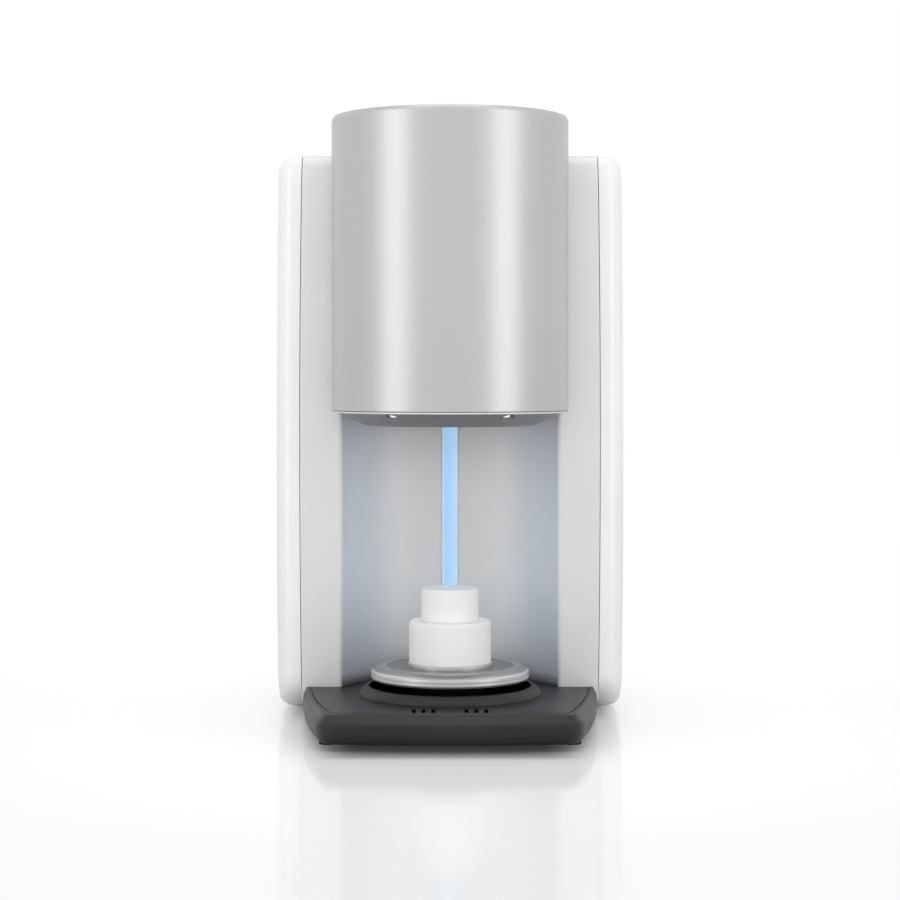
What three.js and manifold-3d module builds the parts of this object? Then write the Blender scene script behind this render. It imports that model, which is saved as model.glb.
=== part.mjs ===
// Chairside induction furnace for dental crowns: a round head over a niche, a lift that carries the firing
// table up into the head, two side shells and a tapering base. Millimetres, +Z up, front towards -Y.
// Shapes are worked out about the head's upright axis, which the last group moves to its place in the depth.
import * as THREE from "three";
import { mergeVertices } from "three/addons/utils/BufferGeometryUtils.js";
import Module from "manifold-3d";

const wasm = await Module();
wasm.setup();

// Driving dimensions
const depth = 372;
const seam = 0.3;
const runningGap = 0.5;
const passGap = 2;
const overrun = 4;
const sheet = 2;
const sides = { large: 48, medium: 32, small: 16, tiny: 8 };

const foot = { height: 6.2, radius: 8, frontSideInset: 9.4, frontReach: 80, rearSideInset: 16.7, rearInset: 20 };
const base = {
  thickness: 23.4, wall: 3, halfWidth: 128.7, shoulderHalfWidth: 125.5, noseHalfWidth: 109.4,
  cornerHalfWidth: 95, cornerBendHalfWidth: 105.7, sideReach: 107.5, cornerBendReach: 123.9,
  cornerReach: 125.6, noseReach: 133.3, hem: 1.5, bevel: 6, bevelHeight: 6.9,
};
const inset = {
  thickness: 1.5, halfWidth: 121.9, shoulderHalfWidth: 117.5, noseHalfWidth: 98.6, cornerHalfWidth: 84,
  cornerBendHalfWidth: 94.7, sideReach: 101.5, cornerBendReach: 115.6, cornerReach: 117.4, noseReach: 124,
  slotX: 17, slotSpacing: 8, slotCount: 3, slotWidth: 3, slotLength: 13, slotReach: 103,
};
const well = { radius: 72.7, depth: 9.9 };
const lip = { height: 7.6, width: 7, crown: 3.5, foot: 8.5 };
const niche = { height: 243.2, wall: 2, slotWidth: 14, slotBelowHead: 3 };
const head = {
  radius: 101.7, height: 250.6, rise: 27.7, wall: 2, edge: 1.5, chamfer: 0.8,
  ledgeDepth: 3.3, ledgeWidth: 3, ledgeThickness: 2,
};
const cap = { thickness: 3, pocket: 2.2 };
const display = { halfWidth: 58, halfDepth: 36, corner: 5, boardInset: 8, boardThickness: 6 };
const dish = { rimRise: 0.8, drop: 13.1, flatRadius: 60, mouthRadius: 40, rimHeight: 3.7, rimWidth: 2 };
const lamp = { x: 47.4, reach: 70.5, radius: 5, flangeRadius: 6.5, flangeHeight: 2.2, stem: 3.2, rimGap: 3.3 };
const deck = { thickness: 3, boreRadius: 58.3 };
const muffle = { wall: 6, height: 65 };
const coil = {
  radius: 66, tubeRadius: 3.5, pitch: 9.5, turns: 6, firstRise: 5, leadLength: 62, steps: 16, tubeSides: 5,
};
const lid = { height: 16, sightRadius: 4.5 };
const can = { innerRadius: 76, windowWidth: 16, windowHeight: 13, thickness: 2 };
const pyrometer = { radius: 9, height: 40, snoutRadius: 3.5, snoutLength: 14 };

const panel = { setback: 37, overBase: 3.1, bow: 2.1, returnDepth: 14 };
const body = {
  shellWidth: 27.4, bow: 2, bulge: 6, corner: 16.7, edge: 14, floorGap: 2.5, footEdge: 12, wall: 3,
  toeRise: 36, toeDepth: 68,
};
const lidDrop = 16;

const table = {
  rise: 12.8, radius: 67.9, chamfer: 1.5, rimHeight: 7.2, grooveRise: 4.2, grooveDepth: 1, grooveHalf: 0.6,
  shoulderRadius: 55.6, shoulderHeight: 4.4, dishWidth: 1, dishDepth: 0.8,
};
const seat = { radius: 36.5, height: 3.3, chamfer: 0.6 };
const plug = { radius: 35.2, height: 36, edge: 2.5, spigotRadius: 20, spigotHeight: 3 };
const crucible = { radius: 24.7, height: 27.8, edge: 1.4, wall: 4, top: 5, lift: 12 };
const tray = { radius: 15, height: 6, chamfer: 1 };
const closingGap = 5;

const arm = {
  halfWidth: 5, height: 19, padRadius: 30, padHeight: 10.4, gussetReach: 73, gussetHeight: 15, gussetFlat: 8,
};
const carriage = { gap: 3, thickness: 6, rise: 4, height: 44, halfWidth: 60, nutReach: 86 };
const block = { width: 26, height: 36, rise: 8, depth: 17.4 };
const rail = { x: 45, width: 12, thickness: 8, above: 6 };
const backplate = { thickness: 4, sideGap: 21 };
const screw = { x: 74, radius: 5, bearingSize: 26, bearingHeight: 8, nutSize: 20, nutHeight: 20, nutRise: 10 };
const coupling = { radius: 8, height: 20, stubRadius: 2.5, stubLength: 8 };
const motor = { size: 42, height: 48, corner: 4, boreDepth: 12, bracketThickness: 3 };
const light = {
  halfWidth: 16, depth: 15, wall: 1.5, boardThickness: 1.5, boardMargin: 4,
  diffuserDepth: 2, diffuserSetback: 0.5, bottomRise: 20,
};

const chassis = { panelGap: 11.8, frontGap: 6, itemGap: 4, sideGap: 26 };
const fan = {
  size: 80, depth: 25, bore: 38.5, hub: 17, hubPlate: 3, spoke: 3, bladeCount: 7, bladeReach: 36,
  bladeChord: 20, bladeThickness: 2, bladePitchDegrees: 38, topGap: 50, root: 2, spokeCount: 4,
};
const vent = { slotWidth: 3.4, spacing: 8, lowerCount: 9, lowerHeight: 56, lowerRise: 205, lowerX: 0 };
const inlet = {
  sideGap: 18, rise: 60, width: 28, height: 66, depth: 26, flange: 4, flangeThickness: 2, corner: 2,
  socketWidth: 22, socketHeight: 15, socketDepth: 16, socketRise: 8, pinWidth: 2, pinHeight: 4, pinSpread: 7,
  pinLength: 13, pinDrop: 2.6, earthRise: 3, fuseWidth: 22, fuseHeight: 12, fuseRise: 29, fuseDepth: 18,
  rockerWidth: 13, rockerHeight: 19.6, rockerRise: 45, rockerDepth: 14,
};
const rocker = { bulge: 1.6, tiltDegrees: 9, depth: 8.5, pivotDepth: 6, clearance: 1 };
const port = { x: 6, rise: 66, width: 17, height: 15, depth: 18, socketWidth: 12, socketHeight: 9, socketDepth: 11 };
const supply = { halfWidth: 62, height: 50, frontGap: 8, rearGap: 20 };
const heatsink = { bankGap: 10, sideGap: 36, height: 34, plate: 5, fins: 11, fin: 2, fanGap: 4.1 };
const bank = { sideGap: 14, halfWidth: 34, plate: 4, canGap: 2, canHeight: 42, columns: 2 };
const board = {
  halfWidth: 70, height: 130, rise: 118, thickness: 2, standoff: 6, standoffRadius: 3, margin: 8,
  chipHeight: 4, chipSize: 22, coilHeight: 12, coilSize: 16,
};

// Levels and reaches that follow from them. Heights are above the floor, reaches are behind the head's axis.
const baseBottom = foot.height;
const baseTop = baseBottom + base.thickness;
const headBottom = baseTop + niche.height;
const headTop = headBottom + head.height;
const bodyTop = headTop - head.rise;
const rear = depth - base.noseReach;
const wallInner = head.radius + seam;
const wallOuter = wallInner + niche.wall;
const wellFloor = baseTop - well.depth;
const shellInner = head.radius - head.wall;
const innerFit = shellInner - seam;
const mouthLevel = headBottom - dish.drop;
const tableBottom = baseTop + table.rise;
const tableTop = tableBottom + table.rimHeight + table.shoulderHeight;
const seatBottom = tableTop - table.dishDepth;
const plugBottom = seatBottom + seat.height;
const plugTop = plugBottom + plug.height;
const travel = mouthLevel - closingGap - (tableBottom + table.rimHeight);
const armBottom = wellFloor + passGap;
const armTop = armBottom + arm.height;
const carriageFront = wallOuter + carriage.gap;
const carriageBack = carriageFront + carriage.thickness;
const carriageBottom = baseTop + carriage.rise;
const plateFront = carriageBack + block.depth + seam + sheet;
const plateBack = plateFront + backplate.thickness;
const floorTop = baseTop + sheet;
const screwReach = carriageBack + block.depth / 2;
const railTop = carriageBottom + block.rise + block.height + travel + rail.above;
const screwBottom = floorTop + screw.bearingHeight;
const screwTop = carriageBottom + screw.nutRise + screw.nutHeight + travel + passGap;
const couplingTop = screwTop + coupling.height;
const bracketBottom = Math.max(couplingTop, railTop) + passGap;
const motorBottom = bracketBottom + motor.bracketThickness;
const rearInner = rear - sheet;
const panelHalf = base.halfWidth + panel.overBase;
const bodyHalf = panelHalf + body.shellWidth;
const chassisHalf = panelHalf - chassis.panelGap;
const chassisTop = bodyTop - lidDrop - passGap;
const bayHalf = chassisHalf - sheet;
const fanX = bayHalf - chassis.sideGap - fan.size / 2;
const fanRise = chassisTop - fan.topGap - fan.size / 2;
const shelfTop = fanRise - fan.size / 2 - heatsink.fanGap - heatsink.height;
const shelfBottom = shelfTop - sheet;
const shelfFront = screwReach + motor.size / 2 + passGap;
const inletX = inlet.sideGap + inlet.flange + inlet.width / 2 - bayHalf;

const finish = {
  satinSilver: { color: 0xc6c6c8, roughness: 0.42, metalness: 0.55 },
  panelSilver: { color: 0xcfd0d3, roughness: 0.5, metalness: 0.35 },
  glossWhite: { color: 0xf4f4f4, roughness: 0.2, metalness: 0 },
  baseBlack: { color: 0x36383b, roughness: 0.5, metalness: 0 },
  rubber: { color: 0x18181a, roughness: 0.85, metalness: 0 },
  machined: { color: 0xa8aaad, roughness: 0.35, metalness: 0.9 },
  zinc: { color: 0x9a9fa3, roughness: 0.45, metalness: 0.8 },
  ceramic: { color: 0xf2f2f0, roughness: 0.7, metalness: 0 },
  carbide: { color: 0x2e2e30, roughness: 0.6, metalness: 0.2 },
  copper: { color: 0xb86f42, roughness: 0.3, metalness: 1 },
  glass: { color: 0x0b0c0e, roughness: 0.08, metalness: 0 },
  light: { color: 0xa6d4fb, roughness: 0.5, metalness: 0 },
  lens: { color: 0xf6f8fa, roughness: 0.2, metalness: 0 },
  circuit: { color: 0x1f5a3a, roughness: 0.5, metalness: 0 },
  plastic: { color: 0x1c1d1f, roughness: 0.55, metalness: 0 },
};

// A closed geometry as a solid, and a solid as a geometry.
function solid(geometry) {
  const bare = geometry.clone();
  bare.deleteAttribute("normal");
  bare.deleteAttribute("uv");
  const merged = mergeVertices(bare);
  return new wasm.Manifold(new wasm.Mesh({
    numProp: 3,
    vertProperties: merged.attributes.position.array,
    triVerts: Uint32Array.from(merged.index.array),
  }));
}

function surface(shape) {
  const mesh = shape.getMesh();
  const geometry = new THREE.BufferGeometry();
  geometry.setAttribute("position", new THREE.BufferAttribute(mesh.vertProperties, 3));
  geometry.setIndex(new THREE.BufferAttribute(mesh.triVerts, 1));
  geometry.computeVertexNormals();
  return geometry;
}

function part(name, shape, look) {
  const mesh = new THREE.Mesh(surface(shape), new THREE.MeshStandardMaterial(look));
  mesh.name = name;
  return mesh;
}

// Plain shapes between two corners, round an upright axis, or pushed out of an outline. Corners are set to
// the very values asked for, so that pieces that share a level meet without a sliver of overlap.
function stretch(geometry, lows, highs) {
  const position = geometry.attributes.position;
  for (let i = 0; i < position.count; i += 1) {
    for (const [axis, low] of Object.entries(lows)) {
      const number = Number(axis);
      position.setComponent(i, number, position.getComponent(i, number) > 0 ? highs[axis] : low);
    }
  }
  return geometry;
}

function box(x0, x1, y0, y1, z0, z1) {
  return solid(stretch(new THREE.BoxGeometry(1, 1, 1), [x0, y0, z0], [x1, y1, z1]));
}

function turned(profile, count = sides.large, x = 0, y = 0) {
  const points = profile.map(([r, z]) => new THREE.Vector2(r, z));
  return solid(new THREE.LatheGeometry(points, count).rotateX(Math.PI / 2).translate(x, y, 0));
}

function rod(radius, z0, z1, count = sides.medium, x = 0, y = 0) {
  return turned([[0, z0], [radius, z0], [radius, z1], [0, z1]], count, x, y);
}

function ring(outer, inner, z0, z1, count = sides.large) {
  return turned([[inner, z0], [outer, z0], [outer, z1], [inner, z1], [inner, z0]], count);
}

function prism(points, z0, z1) {
  const outline = new THREE.Shape(points.map(([x, y]) => new THREE.Vector2(x, y)));
  const geometry = new THREE.ExtrudeGeometry(outline, { depth: 1, bevelEnabled: false, steps: 1 });
  return solid(stretch(geometry, { 2: z0 }, { 2: z1 }));
}

// An outline in x and z pushed along y, and one in y and z pushed along x.
function prismAlongY(points, y0, y1) {
  const outline = new THREE.Shape(points.map(([x, z]) => new THREE.Vector2(x, z)));
  const geometry = new THREE.ExtrudeGeometry(outline, { depth: 1, bevelEnabled: false, steps: 1 });
  const turn = new THREE.Matrix4().makeBasis(
    new THREE.Vector3(1, 0, 0), new THREE.Vector3(0, 0, 1), new THREE.Vector3(0, -1, 0),
  );
  return solid(stretch(geometry.applyMatrix4(turn).translate(0, 1, 0), { 1: y0 }, { 1: y1 }));
}

function prismAlongX(points, x0, x1) {
  const outline = new THREE.Shape(points.map(([y, z]) => new THREE.Vector2(y, z)));
  const geometry = new THREE.ExtrudeGeometry(outline, { depth: 1, bevelEnabled: false, steps: 1 });
  const turn = new THREE.Matrix4().makeBasis(
    new THREE.Vector3(0, 1, 0), new THREE.Vector3(0, 0, 1), new THREE.Vector3(1, 0, 0),
  );
  return solid(stretch(geometry.applyMatrix4(turn), { 0: x0 }, { 0: x1 }));
}

// A skin over rings of points, each ring as long as the next and seen anticlockwise from above.
function loft(rings) {
  const positions = rings.flatMap(({ points, z }) => points.flatMap(([x, y]) => [x, y, z]));
  const size = rings[0].points.length;
  const faces = [];
  for (let level = 0; level + 1 < rings.length; level += 1) {
    for (let i = 0; i < size; i += 1) {
      const a = level * size + i;
      const b = level * size + ((i + 1) % size);
      faces.push(a, b, b + size, a, b + size, a + size);
    }
  }
  const flat = (points) => THREE.ShapeUtils.triangulateShape(points.map(([x, y]) => new THREE.Vector2(x, y)), []);
  const last = (rings.length - 1) * size;
  for (const [a, b, c] of flat(rings[0].points)) faces.push(a, c, b);
  for (const [a, b, c] of flat(rings[rings.length - 1].points)) faces.push(last + a, last + b, last + c);
  const geometry = new THREE.BufferGeometry();
  geometry.setAttribute("position", new THREE.Float32BufferAttribute(positions, 3));
  geometry.setIndex(faces);
  return solid(geometry);
}

function arc(x, y, radius, from, to, steps) {
  return Array.from({ length: steps + 1 }, (_, i) => {
    const angle = from + ((to - from) * i) / steps;
    return [x + radius * Math.cos(angle), y + radius * Math.sin(angle)];
  });
}

function roundedBox(halfX, halfY, radius, x = 0, y = 0, steps = 4) {
  const cx = halfX - radius;
  const cy = halfY - radius;
  const quarter = Math.PI / 2;
  return [
    ...arc(x + cx, y - cy, radius, -quarter, 0, steps), ...arc(x + cx, y + cy, radius, 0, quarter, steps),
    ...arc(x - cx, y + cy, radius, quarter, 2 * quarter, steps),
    ...arc(x - cx, y - cy, radius, 2 * quarter, 3 * quarter, steps),
  ];
}

function bend(from, control, to, steps) {
  const [a, b, c] = [from, control, to].map(([x, y]) => new THREE.Vector2(x, y));
  return new THREE.QuadraticBezierCurve(a, b, c).getPoints(steps).map((point) => [point.x, point.y]);
}

// The tapering outline of the base, or of the plate let into it, with its straight sides ending at back.
function noseOutline(size, back, shrink = 0) {
  const midReach = (panel.setback - size.sideReach) / 2;
  const half = size.halfWidth - shrink;
  const noseHalf = size.noseHalfWidth - shrink;
  const side = bend([half, panel.setback], [size.shoulderHalfWidth - shrink, midReach], [noseHalf, -size.sideReach], 5);
  const corner = bend(
    [noseHalf, -size.sideReach],
    [size.cornerBendHalfWidth - shrink, shrink - size.cornerBendReach],
    [size.cornerHalfWidth - shrink, shrink - size.cornerReach],
    5,
  );
  const flat = size.cornerHalfWidth - shrink;
  const nose = bend(
    [flat, shrink - size.cornerReach],
    [0, shrink + size.cornerReach - 2 * size.noseReach],
    [-flat, shrink - size.cornerReach],
    6,
  );
  const straight = back > panel.setback ? [[half, back - shrink]] : [];
  const right = [...straight, ...side, ...corner.slice(1)];
  const left = right.map(([x, y]) => [-x, y]).reverse();
  return [...right, ...nose.slice(1, -1), ...left].reverse();
}

// A rounded rectangle whose sides bulge: the corners keep their round and the sides follow a shallow curve.
function bulgedOutline(half, front, back, radius) {
  const cornerSteps = 4;
  const sideSteps = 8;
  const quarter = Math.PI / 2;
  const cx = half - body.bulge - radius;
  const middle = (front + back) / 2;
  const reach = (back - front) / 2 - radius;
  const side = Array.from({ length: sideSteps - 1 }, (_, i) => {
    const share = -1 + (2 * (i + 1)) / sideSteps;
    return [half - body.bulge * share ** 2, middle + reach * share];
  });
  const right = [
    ...arc(cx, front + radius, radius, -quarter, 0, cornerSteps), ...side,
    ...arc(cx, back - radius, radius, 0, quarter, cornerSteps),
  ];
  return [...right, ...right.map(([x, y]) => [-x, y]).reverse()];
}

// How far the front sweeps back at a height near the foot: a quarter of an ellipse.
function toeFall(z) {
  const share = Math.min(1, Math.max(0, (body.floorGap + body.toeRise - z) / body.toeRise));
  return body.toeDepth * (1 - Math.sqrt(1 - share ** 2));
}

// The body's outer skin, shrunk by a wall: rounded edges at the top and bottom, slightly bowed upright sides, and
// a long toe at the front of the foot.
function envelope(shrink) {
  const top = bodyTop - shrink;
  const bottom = body.floorGap + shrink;
  const middle = (bodyTop + body.floorGap) / 2;
  const reachHalf = (bodyTop - body.floorGap) / 2;
  const topEdge = body.edge - shrink;
  const bottomEdge = body.footEdge - shrink;
  const levels = [];
  const quarterShares = [0, 0.25, 0.5, 0.75, 1];
  for (const share of quarterShares) {
    const angle = (share * Math.PI) / 2;
    levels.push({ z: bottom + bottomEdge * (1 - Math.sin(angle)), tuck: bottomEdge * (1 - Math.cos(angle)) });
  }
  levels.reverse();
  const toeShares = [0.45, 0.6, 0.8];
  for (const share of toeShares) levels.push({ z: body.floorGap + body.toeRise * share, tuck: 0 });
  const spanShares = [0, 0.25, 0.5, 0.75];
  const low = body.floorGap + body.toeRise;
  const high = top - topEdge;
  for (const share of spanShares) levels.push({ z: low + (high - low) * share, tuck: 0 });
  for (const share of quarterShares) {
    const angle = (share * Math.PI) / 2;
    levels.push({ z: high + topEdge * Math.sin(angle), tuck: topEdge * (1 - Math.cos(angle)) });
  }
  const ordered = levels.sort((a, b) => a.z - b.z);
  return loft(ordered.map(({ z, tuck }) => {
    const bow = body.bow * ((z - middle) / reachHalf) ** 2;
    const half = bodyHalf - bow - shrink - tuck;
    const front = panel.setback + shrink + tuck + toeFall(z);
    const back = rear - shrink - tuck;
    return { z, points: bulgedOutline(half, front, back, body.corner - shrink - tuck) };
  }));
}

function seamHalfWidth(z) {
  const middle = (bodyTop + body.floorGap) / 2;
  const share = (z - middle) / ((bodyTop - body.floorGap) / 2);
  return panelHalf - panel.bow * share ** 2;
}

// The middle of the body between the two side seams, grown sideways by a clearance.
function core(grow) {
  const steps = 8;
  const low = -overrun;
  const high = bodyTop + overrun;
  const heights = Array.from({ length: steps + 1 }, (_, i) => low + ((high - low) * i) / steps);
  const right = heights.map((z) => [seamHalfWidth(z) + grow, z]);
  const left = right.map(([x, z]) => [-x, z]).reverse();
  return prismAlongY([...right, ...left], panel.setback - overrun, rear + overrun);
}

const wide = bodyHalf + overrun;
const tall = bodyTop + overrun;
const middleCore = core(0);
const headVoid = rod(wallInner, -overrun, headTop + overrun, sides.large);
const metalSkin = envelope(0).subtract(envelope(sheet));

function makeFeet() {
  const rearReach = rear - foot.rearInset;
  const frontX = base.noseHalfWidth - foot.frontSideInset;
  const rearX = base.halfWidth - foot.rearSideInset;
  const places = [
    ["foot_front_left", -frontX, -foot.frontReach], ["foot_front_right", frontX, -foot.frontReach],
    ["foot_rear_left", -rearX, rearReach], ["foot_rear_right", rearX, rearReach],
  ];
  return places.map(([name, x, y]) => {
    const mesh = part(name, rod(foot.radius, 0, foot.height, sides.small), finish.rubber);
    mesh.position.set(x, y, 0);
    return mesh;
  });
}

function makeBaseTray() {
  const bevelBottom = baseTop - base.bevelHeight;
  const outer = loft([
    { z: baseBottom, points: noseOutline(base, rear, base.hem) },
    { z: baseBottom + base.hem, points: noseOutline(base, rear) },
    { z: bevelBottom, points: noseOutline(base, rear) },
    { z: baseTop, points: noseOutline(base, rear, base.bevel) },
  ]);
  const channelBack = carriageFront + passGap;
  const slotHalf = niche.slotWidth / 2;
  const roof = baseTop - inset.thickness - base.wall;
  const wellWall = rod(well.radius + base.wall, wellFloor - base.wall, baseTop, sides.large);
  const channelWall = box(
    -slotHalf - base.wall, slotHalf + base.wall, 0, channelBack + base.wall, wellFloor - base.wall, baseTop,
  );
  const bosses = makeFeet().map(({ position }) => (
    rod(foot.radius + base.wall, baseBottom, baseTop, sides.small, position.x, position.y)
  ));
  let hollow = prism(noseOutline(base, rear - base.wall, base.bevel + base.wall), baseBottom - overrun, roof);
  for (const keep of [wellWall, channelWall, ...bosses]) hollow = hollow.subtract(keep);
  const wellCut = rod(well.radius, wellFloor, baseTop + overrun, sides.large);
  const channelCut = box(-slotHalf, slotHalf, 0, channelBack, wellFloor, baseTop + overrun);
  const cuts = [hollow, wellCut, channelCut, insetPocket(0)];
  return part("base_tray", cuts.reduce((rest, cut) => rest.subtract(cut), outer), finish.baseBlack);
}

// The recess for the inset plate: the nose outline up to the panel and the round floor of the niche.
function insetPocket(shrink) {
  const bottom = baseTop - inset.thickness;
  const top = shrink > 0 ? baseTop : baseTop + overrun;
  const front = prism(noseOutline(inset, panel.setback, shrink), bottom, top);
  return front.add(rod(wallInner - shrink - seam, bottom, top, sides.large));
}

function makeBaseInset() {
  let plate = insetPocket(seam).subtract(rod(well.radius, 0, baseTop + overrun, sides.large));
  const slotHalf = niche.slotWidth / 2;
  plate = plate.subtract(box(-slotHalf, slotHalf, 0, wallOuter, 0, baseTop + overrun));
  const half = inset.slotWidth / 2;
  const first = -(inset.slotCount - 1) / 2;
  for (const side of [-1, 1]) {
    for (let i = 0; i < inset.slotCount; i += 1) {
      const x = side * inset.slotX + (first + i) * inset.slotSpacing;
      const front = -inset.slotReach;
      plate = plate.subtract(box(x - half, x + half, front, front + inset.slotLength, 0, baseTop + overrun));
    }
  }
  return part("base_inset", plate, finish.baseBlack);
}

function makeLipRing() {
  const top = baseTop + lip.height;
  const outer = well.radius + lip.foot;
  const shoulder = well.radius + lip.width;
  const wholeRing = turned([
    [well.radius, baseTop], [outer, baseTop], [shoulder, top - lip.crown], [well.radius + lip.crown, top],
    [well.radius, top], [well.radius, baseTop],
  ]);
  const slotHalf = niche.slotWidth / 2;
  const slot = box(-slotHalf, slotHalf, 0, wallOuter, 0, top + overrun);
  return part("lip_ring", wholeRing.subtract(slot), finish.baseBlack);
}

// The front panel's halves: a flat strip with a rounded top edge and half the niche wall. The gap between them
// lets the lift arm through below the head, and the coil's leads behind it.
function makePanelHalf(name, side) {
  const front = box(-wide, wide, panel.setback - overrun, panel.setback + panel.returnDepth, baseTop, tall);
  const strips = metalSkin.intersect(middleCore).intersect(front);
  const wall = rod(wallOuter, baseTop, bodyTop - sheet - seam, sides.large)
    .intersect(box(-wide, wide, panel.setback, wallOuter + overrun, 0, tall));
  const near = niche.slotWidth / 2;
  const half = side > 0 ? box(near, wide, 0, rear, 0, tall) : box(-wide, -near, 0, rear, 0, tall);
  return part(name, strips.add(wall).subtract(headVoid).intersect(half), finish.panelSilver);
}

function makeTopCover() {
  const bottom = bodyTop - lidDrop;
  const behind = box(-wide, wide, panel.setback + panel.returnDepth + seam, rear + overrun, bottom, tall);
  const skin = metalSkin.intersect(core(-seam)).intersect(behind).subtract(headVoid);
  return part("top_cover", skin, finish.panelSilver);
}

function makeShell(name, side) {
  const skin = envelope(0).subtract(envelope(body.wall)).subtract(core(seam));
  const half = side > 0 ? box(0, wide, 0, rear + overrun, 0, tall) : box(-wide, 0, 0, rear + overrun, 0, tall);
  return part(name, skin.intersect(half), finish.glossWhite);
}

function makeRearPanel() {
  const top = bodyTop - lidDrop - seam;
  const slab = box(-wide, wide, rearInner - overrun, rear + overrun, baseTop, top);
  let sheetMetal = metalSkin.intersect(core(-seam)).intersect(slab);
  const slotHalf = vent.slotWidth / 2;
  const slots = Math.floor((2 * fan.bore) / vent.spacing);
  for (let i = 0; i < slots; i += 1) {
    const away = (i - (slots - 1) / 2) * vent.spacing;
    const reach = Math.sqrt(fan.bore ** 2 - away ** 2);
    const x = fanX + away;
    sheetMetal = sheetMetal.subtract(
      box(x - slotHalf, x + slotHalf, rearInner - overrun, rear + overrun, fanRise - reach, fanRise + reach),
    );
  }
  for (let i = 0; i < vent.lowerCount; i += 1) {
    const x = vent.lowerX + (i - (vent.lowerCount - 1) / 2) * vent.spacing;
    const low = vent.lowerRise;
    sheetMetal = sheetMetal.subtract(
      box(x - slotHalf, x + slotHalf, rearInner - overrun, rear + overrun, low, low + vent.lowerHeight),
    );
  }
  for (const [x, { rise, width, height }] of [[inletX, inlet], [port.x, port]]) {
    const outline = roundedBox(width / 2 + seam, height / 2 + seam, inlet.corner, x, rise + height / 2);
    sheetMetal = sheetMetal.subtract(prismAlongY(outline, rearInner - overrun, rear + overrun));
  }
  return part("rear_panel", sheetMetal, finish.panelSilver);
}

// A U of bent sheet on the base: a floor and two upright sides.
function makeChassis() {
  const front = carriageFront + chassis.frontGap;
  const back = rearInner - seam;
  const outer = box(-chassisHalf, chassisHalf, front, back, baseTop, chassisTop);
  const inner = box(-bayHalf, bayHalf, front - overrun, back + overrun, floorTop, chassisTop + overrun);
  return part("chassis", outer.subtract(inner), finish.zinc);
}

function makeShelf() {
  const half = bayHalf - seam;
  const plate = box(-half, half, shelfFront, rearInner - seam, shelfBottom, shelfTop);
  return part("electronics_shelf", plate, finish.zinc);
}

function makeHeadShell() {
  const ledge = headTop - head.ledgeDepth;
  const inner = shellInner;
  const profile = [
    [inner, headBottom + head.chamfer], [head.radius - head.chamfer, headBottom],
    [head.radius, headBottom + head.chamfer], [head.radius, headTop - head.edge],
    ...arc(head.radius - head.edge, headTop - head.edge, head.edge, 0, Math.PI / 2, 3).slice(1),
    [inner, headTop], [inner, ledge], [inner - head.ledgeWidth, ledge],
    [inner - head.ledgeWidth, ledge - head.ledgeThickness], [inner, ledge - head.ledgeThickness],
    [inner, headBottom + head.chamfer],
  ];
  return part("head_shell", turned(profile), finish.satinSilver);
}

function makeHeadCap() {
  const bottom = headTop - head.ledgeDepth;
  const top = bottom + cap.thickness;
  const disc = rod(innerFit, bottom, top, sides.large);
  const paneOutline = roundedBox(display.halfWidth, display.halfDepth, display.corner);
  const pocket = prism(paneOutline, top - cap.pocket, top + overrun);
  return part("head_cap", disc.subtract(pocket), finish.satinSilver);
}

function makeDisplay() {
  const top = headTop - head.ledgeDepth + cap.thickness;
  const half = [display.halfWidth - seam, display.halfDepth - seam];
  const pane = prism(roundedBox(...half, display.corner), top - cap.pocket, top);
  const boardTop = headTop - head.ledgeDepth;
  const boardHalf = half.map((value) => value - display.boardInset);
  const circuit = box(
    -boardHalf[0], boardHalf[0], -boardHalf[1], boardHalf[1], boardTop - display.boardThickness, boardTop,
  );
  return [part("display_glass", pane, finish.glass), part("display_board", circuit, finish.circuit)];
}

// The head's underside: a flat ring round the mouth and a shallow cone up to the rim.
const rimLevel = headBottom - dish.rimRise;
const rimTop = rimLevel + dish.rimHeight;

function makeUnderside() {
  const rim = innerFit;
  const wholeDish = turned([
    [dish.mouthRadius, mouthLevel], [dish.flatRadius, mouthLevel], [rim, rimLevel], [rim, rimTop],
    [rim - dish.rimWidth, rimTop], [rim - dish.rimWidth, rimLevel + sheet],
    [dish.flatRadius, mouthLevel + sheet], [dish.mouthRadius, mouthLevel + sheet], [dish.mouthRadius, mouthLevel],
  ]);
  const holes = [-1, 1].map((side) => (
    rod(lamp.radius + seam, mouthLevel - overrun, headBottom + overrun, sides.small, side * lamp.x, -lamp.reach)
  ));
  return part("head_underside", holes.reduce((rest, hole) => rest.subtract(hole), wholeDish), finish.satinSilver);
}

function makeLamp(name, side) {
  const flangeBottom = rimTop - lamp.rimGap;
  const stem = rod(lamp.radius, flangeBottom - lamp.stem, flangeBottom + lamp.flangeHeight, sides.small);
  const flange = rod(lamp.flangeRadius, flangeBottom, flangeBottom + lamp.flangeHeight, sides.small);
  const mesh = part(name, stem.add(flange), finish.lens);
  mesh.position.set(side * lamp.x, -lamp.reach, 0);
  return mesh;
}

// The firing chamber, bottom to top, and the coil round it.
const deckTop = rimTop + deck.thickness;
const muffleTop = deckTop + muffle.height;
const sleeveRadius = (coil.radius - coil.tubeRadius) * Math.cos(Math.PI / coil.steps) - seam;
const lidTop = muffleTop + lid.height;
const canTop = lidTop + seam + can.thickness;
const coilStart = deckTop + coil.firstRise + coil.tubeRadius;

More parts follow.
